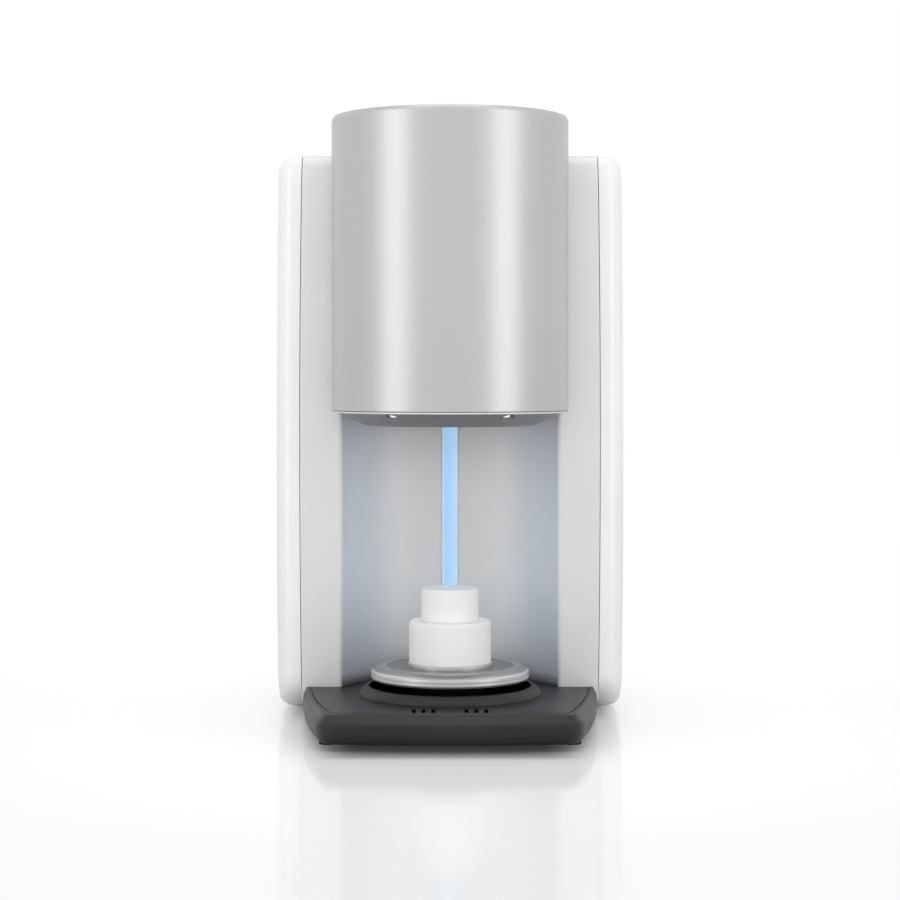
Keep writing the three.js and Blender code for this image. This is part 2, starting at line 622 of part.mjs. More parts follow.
function makeChamber() {
  const bore = dish.mouthRadius;
  const muffleOuter = bore + muffle.wall;
  const { medium } = sides;
  const mouthRing = ring(deck.boreRadius - runningGap, bore, mouthLevel + sheet, deckTop, medium);
  return [
    part("head_deck", ring(innerFit, deck.boreRadius, rimTop, deckTop), finish.zinc),
    part("mouth_insulation", mouthRing, finish.ceramic),
    part("susceptor_tube", ring(muffleOuter, bore, deckTop, muffleTop, medium), finish.carbide),
    part("insulation_sleeve", ring(sleeveRadius, muffleOuter + seam, deckTop, muffleTop, medium), finish.ceramic),
    part("insulation_lid", ring(sleeveRadius, lid.sightRadius, muffleTop, lidTop, medium), finish.ceramic),
  ];
}

// A straight lead in from the rear, rising turns and a straight lead out, all one unbroken tube.
class CoilPath extends THREE.Curve {
  getPoint(t, target = new THREE.Vector3()) {
    const turn = 2 * Math.PI * (coil.turns + 0.5);
    const wound = Math.hypot(coil.radius * turn, coil.pitch * (coil.turns + 0.5));
    const total = wound + 2 * coil.leadLength;
    const at = t * total;
    const rise = coilStart + coil.pitch * (coil.turns + 0.5);
    if (at < coil.leadLength) return target.set(-coil.radius, coil.leadLength - at, coilStart);
    if (at > coil.leadLength + wound) return target.set(coil.radius, at - coil.leadLength - wound, rise);
    const share = (at - coil.leadLength) / wound;
    const angle = Math.PI + share * turn;
    return target.set(
      coil.radius * Math.cos(angle), coil.radius * Math.sin(angle), coilStart + share * (rise - coilStart),
    );
  }
}

function makeCoil() {
  const path = new CoilPath();
  const circle = new THREE.Shape(
    Array.from({ length: coil.tubeSides }, (_, i) => {
      const angle = (2 * Math.PI * i) / coil.tubeSides;
      return new THREE.Vector2(coil.tubeRadius * Math.cos(angle), coil.tubeRadius * Math.sin(angle));
    }),
  );
  const steps = Math.round(coil.steps * (coil.turns + 2));
  const tube = new THREE.ExtrudeGeometry(circle, { steps, extrudePath: path, bevelEnabled: false });
  const points = path.getPoints(steps * 4);
  let least = Infinity;
  points.forEach((a, i) => points.slice(i + 1).forEach((b) => {
    const apart = a.distanceTo(b);
    const along = Math.hypot(a.x - b.x, a.y - b.y);
    if (along < coil.tubeRadius && Math.abs(a.z - b.z) > coil.tubeRadius) least = Math.min(least, apart);
  }));
  console.log(`least gap between coil turns ${(least - 2 * coil.tubeRadius).toFixed(2)} mm`);
  return part("induction_coil", solid(tube), finish.copper);
}

function makeShieldCan() {
  const outer = can.innerRadius + can.thickness;
  const shellBody = rod(outer, deckTop, canTop, sides.medium)
    .subtract(rod(can.innerRadius, deckTop - overrun, canTop - can.thickness, sides.medium))
    .subtract(rod(lid.sightRadius, 0, canTop + overrun, sides.small));
  const half = can.windowWidth / 2;
  const reach = can.windowHeight / 2;
  const leads = [[-1, coilStart], [1, coilStart + coil.pitch * (coil.turns + 0.5)]];
  const windows = leads.map(([side, z]) => (
    box(side * coil.radius - half, side * coil.radius + half, 0, outer + overrun, z - reach, z + reach)
  ));
  return part("shield_can", windows.reduce((rest, cut) => rest.subtract(cut), shellBody), finish.machined);
}

function makePyrometer() {
  const bottom = canTop;
  const snout = rod(pyrometer.snoutRadius, bottom - pyrometer.snoutLength, bottom + overrun, sides.small);
  const barrel = rod(pyrometer.radius, bottom, bottom + pyrometer.height, sides.small);
  return part("pyrometer", snout.add(barrel), finish.machined);
}

function makeTable() {
  const bottom = tableBottom;
  const rim = bottom + table.rimHeight;
  const groove = bottom + table.grooveRise;
  const inner = table.shoulderRadius;
  const shoulder = bend([table.radius, rim], [table.radius - table.chamfer, tableTop], [inner, tableTop], 4);
  return part("firing_table", turned([
    [0, bottom], [table.radius - table.chamfer, bottom], [table.radius, bottom + table.chamfer],
    [table.radius, groove - table.grooveHalf], [table.radius - table.grooveDepth, groove],
    [table.radius, groove + table.grooveHalf], ...shoulder, [inner - table.dishWidth, seatBottom], [0, seatBottom],
  ]), finish.machined);
}

function makeLoad() {
  const cut = seat.chamfer;
  const seatDisc = turned([
    [0, seatBottom], [seat.radius, seatBottom], [seat.radius, plugBottom - cut], [seat.radius - cut, plugBottom],
    [0, plugBottom],
  ], sides.medium);
  const spigotTop = plugTop + plug.spigotHeight;
  const plugBody = turned([
    [0, plugBottom], [plug.radius, plugBottom],
    ...arc(plug.radius - plug.edge, plugTop - plug.edge, plug.edge, 0, Math.PI / 2, 3),
    [plug.spigotRadius, plugTop], [plug.spigotRadius, spigotTop], [0, spigotTop],
  ], sides.medium);
  const trayBody = turned([
    [0, spigotTop], [tray.radius, spigotTop], [tray.radius, spigotTop + tray.height - tray.chamfer],
    [tray.radius - tray.chamfer, spigotTop + tray.height], [0, spigotTop + tray.height],
  ], sides.medium);
  const top = plugTop + crucible.height;
  const bore = crucible.radius - crucible.wall;
  const cover = turned([
    [bore, plugTop], [crucible.radius, plugTop],
    ...arc(crucible.radius - crucible.edge, top - crucible.edge, crucible.edge, 0, Math.PI / 2, 3),
    [0, top], [0, top - crucible.top], [bore, top - crucible.top], [bore, plugTop],
  ], sides.medium);
  return [
    part("plug_seat", seatDisc, finish.machined), part("insulation_plug", plugBody, finish.ceramic),
    part("firing_tray", trayBody, finish.ceramic), part("crucible_cover", cover, finish.ceramic),
  ];
}

// The blade arm: a round pad under the table, a bar through the wall's slot and a gusset inside the slot.
function makeArm() {
  const pad = rod(arm.padRadius, tableBottom - arm.padHeight, tableBottom, sides.medium);
  const gussetTop = armTop + arm.gussetHeight;
  const bar = prismAlongX([
    [-arm.padRadius, armBottom], [carriageFront, armBottom], [carriageFront, gussetTop],
    [carriageFront - arm.gussetFlat, gussetTop], [arm.gussetReach, armTop], [-arm.padRadius, armTop],
  ], -arm.halfWidth, arm.halfWidth);
  return part("lift_arm", bar.add(pad), finish.zinc);
}

function makeCarriage() {
  const top = carriageBottom + carriage.height;
  const plate = box(-carriage.halfWidth, carriage.nutReach, carriageFront, carriageBack, carriageBottom, top);
  const nutBottom = carriageBottom + screw.nutRise;
  const nutHalf = screw.nutSize / 2;
  const nut = box(
    screw.x - nutHalf, screw.x + nutHalf, carriageBack, screwReach + nutHalf, nutBottom, nutBottom + screw.nutHeight,
  ).subtract(rod(screw.radius + runningGap, 0, tall, sides.small, screw.x, screwReach));
  const blocks = [["carriage_block_left", -rail.x], ["carriage_block_right", rail.x]].map(([name, x]) => {
    const bottom = carriageBottom + block.rise;
    const back = carriageBack + block.depth;
    const railHalf = rail.width / 2 + seam;
    const whole = box(x - block.width / 2, x + block.width / 2, carriageBack, back, bottom, bottom + block.height);
    const cut = box(x - railHalf, x + railHalf, plateFront - rail.thickness - seam, back + overrun, 0, tall);
    return part(name, whole.subtract(cut), finish.machined);
  });
  return [part("lift_carriage", plate, finish.machined), part("screw_nut", nut, finish.machined), ...blocks];
}

function makeLiftFrame() {
  const railBar = (name, x) => part(name, box(
    x - rail.width / 2, x + rail.width / 2, plateFront - rail.thickness, plateFront, floorTop, railTop,
  ), finish.zinc);
  const half = bayHalf - backplate.sideGap;
  const plate = box(-half, half, plateFront, plateBack, floorTop, motorBottom);
  const motorHalf = motor.size / 2;
  const boreRadius = coupling.stubRadius + runningGap;
  const boreCut = rod(boreRadius, 0, motorBottom + motor.boreDepth, sides.tiny, screw.x, screwReach);
  const bracket = box(
    screw.x - motorHalf, screw.x + motorHalf, screwReach - motorHalf, plateBack, bracketBottom, motorBottom,
  );
  const motorOutline = roundedBox(motorHalf, motorHalf, motor.corner, screw.x, screwReach, 2);
  const motorBody = prism(motorOutline, motorBottom, motorBottom + motor.height).subtract(boreCut);
  const bearingHalf = screw.bearingSize / 2;
  const bearing = box(
    screw.x - bearingHalf, screw.x + bearingHalf, carriageBack + passGap, plateFront, floorTop, screwBottom,
  );
  return [
    railBar("guide_rail_left", -rail.x), railBar("guide_rail_right", rail.x),
    part("lift_backplate", plate.add(bracket).subtract(boreCut), finish.zinc),
    part("lift_motor", motorBody, finish.plastic), part("screw_bearing", bearing, finish.machined),
  ];
}

function makeScrew() {
  const mesh = part("lead_screw", rod(screw.radius, screwBottom + seam, screwTop, sides.small), finish.machined);
  const stub = rod(coupling.stubRadius, couplingTop, motorBottom + coupling.stubLength, sides.tiny);
  const sleeve = rod(coupling.radius, screwTop, couplingTop, sides.small);
  const hub = part("screw_coupling", sleeve.add(stub), finish.machined);
  for (const turning of [mesh, hub]) turning.position.set(screw.x, screwReach, 0);
  return [mesh, hub];
}

// The blue light behind the slot: a channel on the back plate, a lit board and a diffuser across its mouth.
function makeLight() {
  const back = plateFront;
  const front = back - light.depth;
  const bottom = floorTop + light.bottomRise;
  const top = headBottom - niche.slotBelowHead + light.wall;
  const inner = light.halfWidth - light.wall;
  const channel = box(-light.halfWidth, light.halfWidth, front, back, bottom, top)
    .subtract(box(-inner, inner, front - overrun, back - light.wall, bottom + light.wall, top - light.wall));
  const low = bottom + light.wall + seam;
  const high = top - light.wall - seam;
  const boardHalf = inner - light.boardMargin;
  const boardBack = back - light.wall;
  const strip = box(-boardHalf, boardHalf, boardBack - light.boardThickness, boardBack, low, high);
  const paneFront = front + light.diffuserSetback;
  const pane = box(-inner + seam, inner - seam, paneFront, paneFront + light.diffuserDepth, low, high);
  return [
    part("light_channel", channel, finish.machined), part("light_board", strip, finish.circuit),
    part("light_diffuser", pane, finish.light),
  ];
}

function makeFan() {
  const half = fan.size / 2;
  const back = fan.depth;
  const frame = box(-half, half, -half, half, 0, back).subtract(rod(fan.bore, -overrun, back + overrun, sides.medium));
  let spider = rod(fan.hub, 0, fan.hubPlate, sides.small);
  const spokeReach = (fan.size / 2 + fan.bore) / 2;
  for (let i = 0; i < fan.spokeCount; i += 1) {
    const angle = (Math.PI * (2 * i + 1)) / fan.spokeCount;
    const spoke = new THREE.BoxGeometry(spokeReach, fan.spoke, fan.hubPlate);
    spider = spider.add(solid(spoke.translate(spokeReach / 2, 0, fan.hubPlate / 2).rotateZ(angle)));
  }
  const hubTop = back - fan.hubPlate;
  let rotor = rod(fan.hub, fan.hubPlate + runningGap, hubTop, sides.small);
  const length = fan.bladeReach - fan.hub + fan.root;
  for (let i = 0; i < fan.bladeCount; i += 1) {
    const blade = new THREE.BoxGeometry(length, fan.bladeChord, fan.bladeThickness);
    blade.rotateX(THREE.MathUtils.degToRad(fan.bladePitchDegrees));
    blade.translate(fan.bladeReach - length / 2, 0, (fan.hubPlate + back) / 2);
    rotor = rotor.add(solid(blade.rotateZ((2 * Math.PI * i) / fan.bladeCount)));
  }
  const meshes = [part("fan_frame", frame.add(spider), finish.plastic), part("fan_rotor", rotor, finish.plastic)];
  for (const mesh of meshes) {
    mesh.position.set(fanX, rearInner - back, fanRise);
    mesh.rotation.x = -Math.PI / 2;
  }
  return meshes;
}

// The power entry: socket below, fuse drawer in the middle, rocker above, in one housing let into the rear panel.
function makeInlet() {
  const { rise } = inlet;
  const x = inletX;
  const face = rear;
  const moulding = prismAlongY(
    roundedBox(inlet.width / 2, inlet.height / 2, inlet.corner, x, rise + inlet.height / 2), rear - inlet.depth, face,
  );
  const flangeHalf = inlet.width / 2 + inlet.flange;
  const flange = box(
    x - flangeHalf, x + flangeHalf, rearInner - inlet.flangeThickness, rearInner,
    rise - inlet.flange, rise + inlet.height + inlet.flange,
  );
  const pocket = (width, height, low, reach) => (
    box(x - width / 2, x + width / 2, face - reach, face + overrun, rise + low, rise + low + height)
  );
  const socket = pocket(inlet.socketWidth, inlet.socketHeight, inlet.socketRise, inlet.socketDepth);
  const fuse = pocket(inlet.fuseWidth, inlet.fuseHeight, inlet.fuseRise, inlet.fuseDepth);
  const rockerHole = pocket(inlet.rockerWidth, inlet.rockerHeight, inlet.rockerRise, inlet.rockerDepth);
  let housing = moulding.add(flange).subtract(socket).subtract(fuse).subtract(rockerHole);
  const centre = rise + inlet.socketRise + inlet.socketHeight / 2;
  const pins = [[-inlet.pinSpread, -inlet.pinDrop], [inlet.pinSpread, -inlet.pinDrop], [0, inlet.earthRise]];
  const floor = face - inlet.socketDepth;
  for (const [across, up] of pins) {
    const [halfWide, halfTall] = [inlet.pinWidth / 2, inlet.pinHeight / 2];
    housing = housing.add(box(
      x + across - halfWide, x + across + halfWide, floor - inlet.flangeThickness, floor + inlet.pinLength,
      centre + up - halfTall, centre + up + halfTall,
    ));
  }
  const drawer = box(
    x - inlet.fuseWidth / 2 + seam, x + inlet.fuseWidth / 2 - seam, face - inlet.fuseDepth + seam, face,
    rise + inlet.fuseRise + seam, rise + inlet.fuseRise + inlet.fuseHeight - seam,
  );
  return [part("power_inlet", housing, finish.plastic), part("fuse_drawer", drawer, finish.plastic)];
}

// The rocker's outline about its pivot: two faces that meet in a shallow ridge, over a round belly.
function makeRocker() {
  const half = inlet.rockerHeight / 2 - rocker.clearance;
  const face = rocker.pivotDepth;
  const tilt = Math.tan(THREE.MathUtils.degToRad(rocker.tiltDegrees));
  const belly = rocker.depth - rocker.pivotDepth;
  const high = face - rocker.bulge;
  const profile = [
    [-belly, -half / 2], [-belly, half / 2], [0, half], [high - half * tilt, half], [high, 0], [high, -half],
    [0, -half],
  ];
  const halfWide = inlet.rockerWidth / 2 - runningGap;
  const mesh = part("mains_rocker", prismAlongX(profile.reverse(), -halfWide, halfWide), finish.plastic);
  mesh.position.set(inletX, rear - rocker.pivotDepth, inlet.rise + inlet.rockerRise + inlet.rockerHeight / 2);
  return mesh;
}

function makePort() {
  const { x, rise } = port;
  const middle = rise + port.height / 2;
  const shellBox = prismAlongY(
    roundedBox(port.width / 2, port.height / 2, inlet.corner, x, middle), rear - port.depth, rear,
  );
  const socket = box(
    x - port.socketWidth / 2, x + port.socketWidth / 2, rear - port.socketDepth, rear + overrun,
    middle - port.socketHeight / 2, middle + port.socketHeight / 2,
  );
  return part("network_port", shellBox.subtract(socket), finish.zinc);
}

function makeElectronics() {
  const supplyRight = bayHalf - chassis.sideGap;
  const supplyBox = box(
    supplyRight - 2 * supply.halfWidth, supplyRight, plateBack + supply.frontGap, rearInner - supply.rearGap,
    floorTop, floorTop + supply.height,
  );
  const front = shelfFront + chassis.itemGap;
  const back = rearInner - chassis.itemGap;
  const bankLeft = bank.sideGap - bayHalf;
  const bankRight = bankLeft + 2 * bank.halfWidth;
  const sinkLeft = bankRight + heatsink.bankGap;
  const sinkRight = bayHalf - heatsink.sideGap;
  let sink = box(sinkLeft, sinkRight, front, back, shelfTop, shelfTop + heatsink.plate);
  for (let i = 0; i < heatsink.fins; i += 1) {
    const x = sinkLeft + ((sinkRight - sinkLeft - heatsink.fin) * i) / (heatsink.fins - 1);
    sink = sink.add(box(x, x + heatsink.fin, front, back, shelfTop, shelfTop + heatsink.height));
  }
  let cans = box(bankLeft, bankRight, front, back, shelfTop, shelfTop + bank.plate);
  const pitchX = (bankRight - bankLeft) / bank.columns;
  const rows = Math.max(1, Math.floor((back - front) / pitchX));
  const pitchY = (back - front) / rows;
  const canRadius = Math.min(pitchX, pitchY) / 2 - bank.canGap;
  for (let i = 0; i < bank.columns * rows; i += 1) {
    const x = bankLeft + pitchX * ((i % bank.columns) + 0.5);
    const y = front + pitchY * (Math.floor(i / bank.columns) + 0.5);
    cans = cans.add(rod(canRadius, shelfTop + bank.plate / 2, shelfTop + bank.canHeight, sides.small, x, y));
  }
  const low = board.rise;
  const sheetFront = plateBack + board.standoff;
  const sheetBack = sheetFront + board.thickness;
  let circuit = box(-board.halfWidth, board.halfWidth, sheetFront, sheetBack, low, low + board.height);
  const footX = board.halfWidth - board.margin;
  for (const x of [-footX, footX]) {
    for (const z of [low + board.margin, low + board.height - board.margin]) {
      const post = new THREE.CylinderGeometry(
        board.standoffRadius, board.standoffRadius, board.standoff + board.thickness / 2, sides.tiny,
      );
      circuit = circuit.add(solid(post.translate(x, plateBack + (board.standoff + board.thickness / 2) / 2, z)));
    }
  }
  const face = sheetFront + board.thickness / 2;
  const middle = low + board.height / 2;
  const chip = board.chipSize / 2;
  circuit = circuit.add(box(-chip, chip, face, face + board.chipHeight, middle - chip, middle + chip));
  const lump = board.coilSize / 2;
  for (const side of [-1, 1]) {
    const x = (side * board.halfWidth) / 2;
    circuit = circuit.add(box(x - lump, x + lump, face, face + board.coilHeight, middle - lump, middle + lump));
  }
  return [
    part("power_supply", supplyBox, finish.zinc), part("inverter_heatsink", sink, finish.machined),
    part("capacitor_bank", cans, finish.plastic), part("control_board", circuit, finish.circuit),
  ];
}

function gather(...meshes) {
  const group = new THREE.Group();
  group.add(...meshes.flat());
  return group;
}

const stand = gather(makeFeet(), makeBaseTray(), makeBaseInset(), makeLipRing());
const casing = gather(
  makePanelHalf("front_panel_left", -1), makePanelHalf("front_panel_right", 1), makeShell("left_shell", -1),
  makeShell("right_shell", 1), makeTopCover(), makeRearPanel(),
);
const headParts = gather(
  makeHeadShell(), makeHeadCap(), makeDisplay(), makeUnderside(), makeLamp("lamp_left", -1),
  makeLamp("lamp_right", 1), makeChamber(), makeCoil(), makeShieldCan(), makePyrometer(),
);
const lift = gather(makeTable(), makeLoad(), makeArm(), makeCarriage());
const liftFrame = gather(makeLiftFrame(), makeScrew(), makeLight());
const inside = gather(
  makeChassis(), makeShelf(), makeFan(), makeInlet(), makeRocker(), makePort(), makeElectronics(),
);

const furnace = gather(stand, casing, headParts, lift, liftFrame, inside);
furnace.name = "furnace";
furnace.position.y = base.noseReach - depth / 2;

export default furnace;
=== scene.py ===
# %% [markdown]
# # A compact dental furnace, dressed in Blender
# The furnace is a lacquered metal head over a lit niche, between two glossy white shells, on a black moulded
# base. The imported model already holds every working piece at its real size. This notebook gives each visible
# piece its finished surface: fine fillets, smooth curves and procedural finishes. Everything is in metres.

# %% Load the fixed frame
import math

import bmesh
import bpy
import numpy as np
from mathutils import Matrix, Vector


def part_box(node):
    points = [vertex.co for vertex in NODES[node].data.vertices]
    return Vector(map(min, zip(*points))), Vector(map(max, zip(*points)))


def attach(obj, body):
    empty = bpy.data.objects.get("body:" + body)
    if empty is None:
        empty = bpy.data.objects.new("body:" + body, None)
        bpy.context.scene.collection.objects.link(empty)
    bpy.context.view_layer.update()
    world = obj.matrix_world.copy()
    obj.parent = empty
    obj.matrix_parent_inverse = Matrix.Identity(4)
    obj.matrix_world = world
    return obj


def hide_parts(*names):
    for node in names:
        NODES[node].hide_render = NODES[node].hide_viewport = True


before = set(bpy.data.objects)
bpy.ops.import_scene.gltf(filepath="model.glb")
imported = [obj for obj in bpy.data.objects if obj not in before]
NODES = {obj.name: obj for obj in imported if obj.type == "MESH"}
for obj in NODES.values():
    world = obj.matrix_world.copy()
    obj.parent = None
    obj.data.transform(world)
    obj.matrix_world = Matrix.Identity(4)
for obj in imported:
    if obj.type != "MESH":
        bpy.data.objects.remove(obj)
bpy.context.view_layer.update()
MM = 0.001


def mm(*values):
    """Millimetres as a list of metres."""
    return [value * MM for value in values]


def in_scene(name, data):
    """An object that holds the data, put into the scene."""
    thing = bpy.data.objects.new(name, data)
    bpy.context.scene.collection.objects.link(thing)
    return thing


def corners(node):
    """Lowest and highest corner of a CAD node, as numpy rows."""
    low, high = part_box(node)
    return np.array(low), np.array(high)


HEAD_LOW, HEAD_HIGH = corners("head_shell")
AXIS_Y = float(HEAD_LOW[1] + HEAD_HIGH[1]) / 2
HEAD_R = float(HEAD_HIGH[0])
BASE_LOW, BASE_HIGH = corners("base_tray")
BASE_TOP = float(BASE_HIGH[2])
PANEL_LOW, PANEL_HIGH = corners("front_panel_right")
PANEL_Y = float(PANEL_LOW[1])
BODY_TOP = float(PANEL_HIGH[2])
SHELL_LOW, SHELL_HIGH = corners("right_shell")
REAR_Y = float(SHELL_HIGH[1])
print(f"head axis y {AXIS_Y:.4f}, head radius {HEAD_R:.4f}, base top {BASE_TOP:.4f}, body top {BODY_TOP:.4f}")

# %% [markdown]
# ## The camera
# Product shots like this one are taken level, from far away, with a long lens, so upright edges stay upright.
# A tilted camera would make them lean. The lens is shifted down instead, which keeps the picture square.

# %% Camera
CAMERA_DISTANCE = 1.836
CAMERA_HEIGHT = 0.3036
FOCAL_PIXELS = 2135
PHOTO_SIDE = 900
HORIZON_ROW = 374.3

camera_data = bpy.data.cameras.new("camera")
camera_data.sensor_width = 36
camera_data.lens = camera_data.sensor_width * FOCAL_PIXELS / PHOTO_SIDE
camera_data.shift_y = (HORIZON_ROW - PHOTO_SIDE / 2) / PHOTO_SIDE
camera_data.clip_end = 20
camera = in_scene("camera", camera_data)
camera.location = (0, AXIS_Y - CAMERA_DISTANCE, CAMERA_HEIGHT)
camera.rotation_euler = (math.pi / 2, 0, 0)
bpy.context.scene.camera = camera
print(f"lens {camera_data.lens:.1f} mm, shift {camera_data.shift_y:.3f}")

# %% [markdown]
# ## Surfaces from numbers
# Each new piece is a grid of points: rows along one direction, columns along the other. A turned piece is a
# profile carried round an axis, and a profile gets its fillets before it is carried. Working out whole arrays
# keeps the code short, and each fillet is real geometry that catches a highlight.

# %% Grid helpers
def mesh_object(name, vertices, faces, sharp=32):
    """An object from arrays of vertices and faces, doubles merged, smooth except over edges past sharp degrees."""
    mesh = bpy.data.meshes.new(name)
    mesh.from_pydata(vertices.tolist(), [], faces.tolist() if hasattr(faces, "tolist") else faces)
    work = bmesh.new()
    work.from_mesh(mesh)
    bmesh.ops.remove_doubles(work, verts=work.verts, dist=1e-6)
    bmesh.ops.dissolve_degenerate(work, edges=work.edges, dist=1e-7)
    work.to_mesh(mesh)
    work.free()
    mesh.shade_smooth()
    mesh.set_sharp_from_angle(angle=math.radians(sharp))
    return in_scene(name, mesh)


def grid_faces(rows, columns, close_rows=False, close_columns=False):
    """Quads of a rows by columns grid, joined round where a direction is closed."""
    r = np.arange(rows if close_rows else rows - 1)
    c = np.arange(columns if close_columns else columns - 1)
    i, j = np.meshgrid(r, c, indexing="ij")
    k, m = (i + 1) % rows, (j + 1) % columns
    quads = np.stack([i * columns + j, i * columns + m, k * columns + m, k * columns + j], -1)
    return quads.reshape(-1, 4)


def face_out(thing):
    """Turns all faces outwards on a closed mesh."""
    work = bmesh.new()
    work.from_mesh(thing.data)
    bmesh.ops.recalc_face_normals(work, faces=work.faces)
    work.to_mesh(thing.data)
    work.free()
    return thing


def filleted(points, radii, steps=6):
    """A polyline with each corner cut back and joined by a round: the round's points follow a quadratic curve."""
    points = np.asarray(points, float)
    out = [points[0]]
    for before, corner, after, radius in zip(points, points[1:], points[2:], radii):
        to_before, to_after = before - corner, after - corner
        length_before, length_after = np.linalg.norm(to_before), np.linalg.norm(to_after)
        cut = min(radius, 0.49 * length_before, 0.49 * length_after)
        start = corner + to_before / length_before * cut
        end = corner + to_after / length_after * cut
        t = np.linspace(0, 1, steps + 1)[:, None]
        out.extend((1 - t) ** 2 * start + 2 * t * (1 - t) * corner + t**2 * end)
    out.append(points[-1])
    return np.array(out)


def turned(name, profile, centre=(0.0, AXIS_Y), turns=192, start=0.0, sweep=2 * math.pi):
    """A profile of (radius, height) carried round an upright axis: x = r cos a, y = r sin a."""
    profile = np.asarray(profile, float)
    whole = abs(sweep - 2 * math.pi) < 1e-9
    angles = start + sweep * np.arange(turns) / (turns if whole else turns - 1)
    r, z = profile[:, 0][None, :], profile[:, 1][None, :]
    x = centre[0] + np.cos(angles)[:, None] * r
    y = centre[1] + np.sin(angles)[:, None] * r
    vertices = np.stack([x, y, np.broadcast_to(z, x.shape)], -1).reshape(-1, 3)
    faces = grid_faces(turns, len(profile), close_rows=whole).tolist()
    if not whole:
        last = (turns - 1) * len(profile)
        faces.append(list(range(len(profile)))[::-1])
        faces.append([last + n for n in range(len(profile))])
    return face_out(mesh_object(name, vertices, faces))


def loop_profile(points, radii, steps=6):
    """A closed profile with filleted corners, which starts and ends in the middle of its first side."""
    points = np.asarray(points, float)
    middle = (points[0] + points[1]) / 2
    around = [middle, *points[1:], points[0], middle]
    return filleted(around, [*radii[1:], radii[0]], steps)


def solidify(thing, thickness):
    """Gives a skin its wall, inwards from the outer surface."""
    wall = thing.modifiers.new("wall", "SOLIDIFY")
    wall.thickness = thickness
    wall.offset = -1.0
    return thing


def even_shading(thing):
    """Keeps broad flats flat beside narrow fillets by weighting normals with face area."""
    thing.modifiers.new("even_shading", "WEIGHTED_NORMAL").keep_sharp = True
    return thing


def cut_away(thing, plug):
    """Cuts a plug's shape out of a piece and removes the plug."""
    cut = thing.modifiers.new("cut", "BOOLEAN")
    cut.object, cut.solver = plug, "EXACT"
    bpy.context.view_layer.objects.active = thing
    bpy.ops.object.modifier_apply(modifier=cut.name)
    bpy.data.objects.remove(plug)


# %% [markdown]
# ## Finishes
# The real machine is mostly lacquer: a satin silver with a very fine metal flake on the head, a lighter silver
# on the panel, gloss white on the shells and a fine spark-eroded grain on the black base. Each finish is a
# Principled shader. What the finishes share, grain and soft unevenness, is a node group used with other values.
# Small helpers add one kind of node each, so that a group reads like a formula.

# %% Node helpers
BUMP_HEIGHT = 0.2 * MM


def new_group(name, inputs, outputs):
    """An empty shader group with named sockets, and its first and last nodes."""
    group = bpy.data.node_groups.new(name, "ShaderNodeTree")
    for label, value in inputs.items():
        socket = group.interface.new_socket(label, in_out="INPUT", socket_type="NodeSocketFloat")
        socket.default_value = value
    for label, kind in outputs.items():
        group.interface.new_socket(label, in_out="OUTPUT", socket_type=kind)
    return group, group.nodes.new("NodeGroupInput"), group.nodes.new("NodeGroupOutput")


def maths(tree, operation, *values):
    """The result of a Math node: each value is another node's output or a plain number."""
    node = tree.nodes.new("ShaderNodeMath")
    node.operation = operation
    for socket, value in zip(node.inputs, values):
        if isinstance(value, bpy.types.NodeSocket):
            tree.links.new(value, socket)
        else:
            socket.default_value = value
    return node.outputs[0]


def noise(tree, vector, scale, detail):
    """Noise of 0 to 1 over a vector, at a scale that another node gives."""
    node = tree.nodes.new("ShaderNodeTexNoise")
    node.inputs["Detail"].default_value = detail
    tree.links.new(vector, node.inputs["Vector"])
    tree.links.new(scale, node.inputs["Scale"])
    return node.outputs["Fac"]


def bumped(tree, height, strength):
    """The normal over a height, at a strength that another node gives."""
    node = tree.nodes.new("ShaderNodeBump")
    node.inputs["Distance"].default_value = BUMP_HEIGHT
    tree.links.new(strength, node.inputs["Strength"])
    tree.links.new(height, node.inputs["Height"])
    return node.outputs["Normal"]


def object_place(tree):
    """X, Y and Z of the Object coordinates."""
    place = tree.nodes.new("ShaderNodeTexCoord")
    parts = tree.nodes.new("ShaderNodeSeparateXYZ")
    tree.links.new(place.outputs["Object"], parts.inputs[0])
    return parts.outputs


def from_axis(tree, place, centre_y=AXIS_Y):
    """The distance from an upright axis: the length of (x, y - centre y)."""
    flat = tree.nodes.new("ShaderNodeCombineXYZ")
    tree.links.new(place["X"], flat.inputs["X"])
    tree.links.new(maths(tree, "SUBTRACT", place["Y"], centre_y), flat.inputs["Y"])
    length = tree.nodes.new("ShaderNodeVectorMath")
    length.operation = "LENGTH"
    tree.links.new(flat.outputs[0], length.inputs[0])
    return length.outputs["Value"]


# %% Shared node groups
def grain_group():
    """Fine grain for bump plus a broad unevenness: two noises of Object coordinates at their own scales."""
    group, entry, leave = new_group(
        "grain",
        {"Grain Scale": 1800.0, "Grain Depth": 0.2, "Cloud Scale": 9.0, "Roughness": 0.4, "Roughness Spread": 0.05},
        {"Normal": "NodeSocketVector", "Roughness": "NodeSocketFloat", "Cloud": "NodeSocketFloat"},
    )
    given = entry.outputs
    place = group.nodes.new("ShaderNodeTexCoord").outputs["Object"]
    fine = noise(group, place, given["Grain Scale"], 2)
    broad = noise(group, place, given["Cloud Scale"], 4)
    centred = maths(group, "SUBTRACT", broad, 0.5)
    rough = maths(group, "MULTIPLY_ADD", centred, given["Roughness Spread"], given["Roughness"])
    group.links.new(bumped(group, fine, given["Grain Depth"]), leave.inputs["Normal"])
    group.links.new(rough, leave.inputs["Roughness"])
    group.links.new(broad, leave.inputs["Cloud"])
    return group


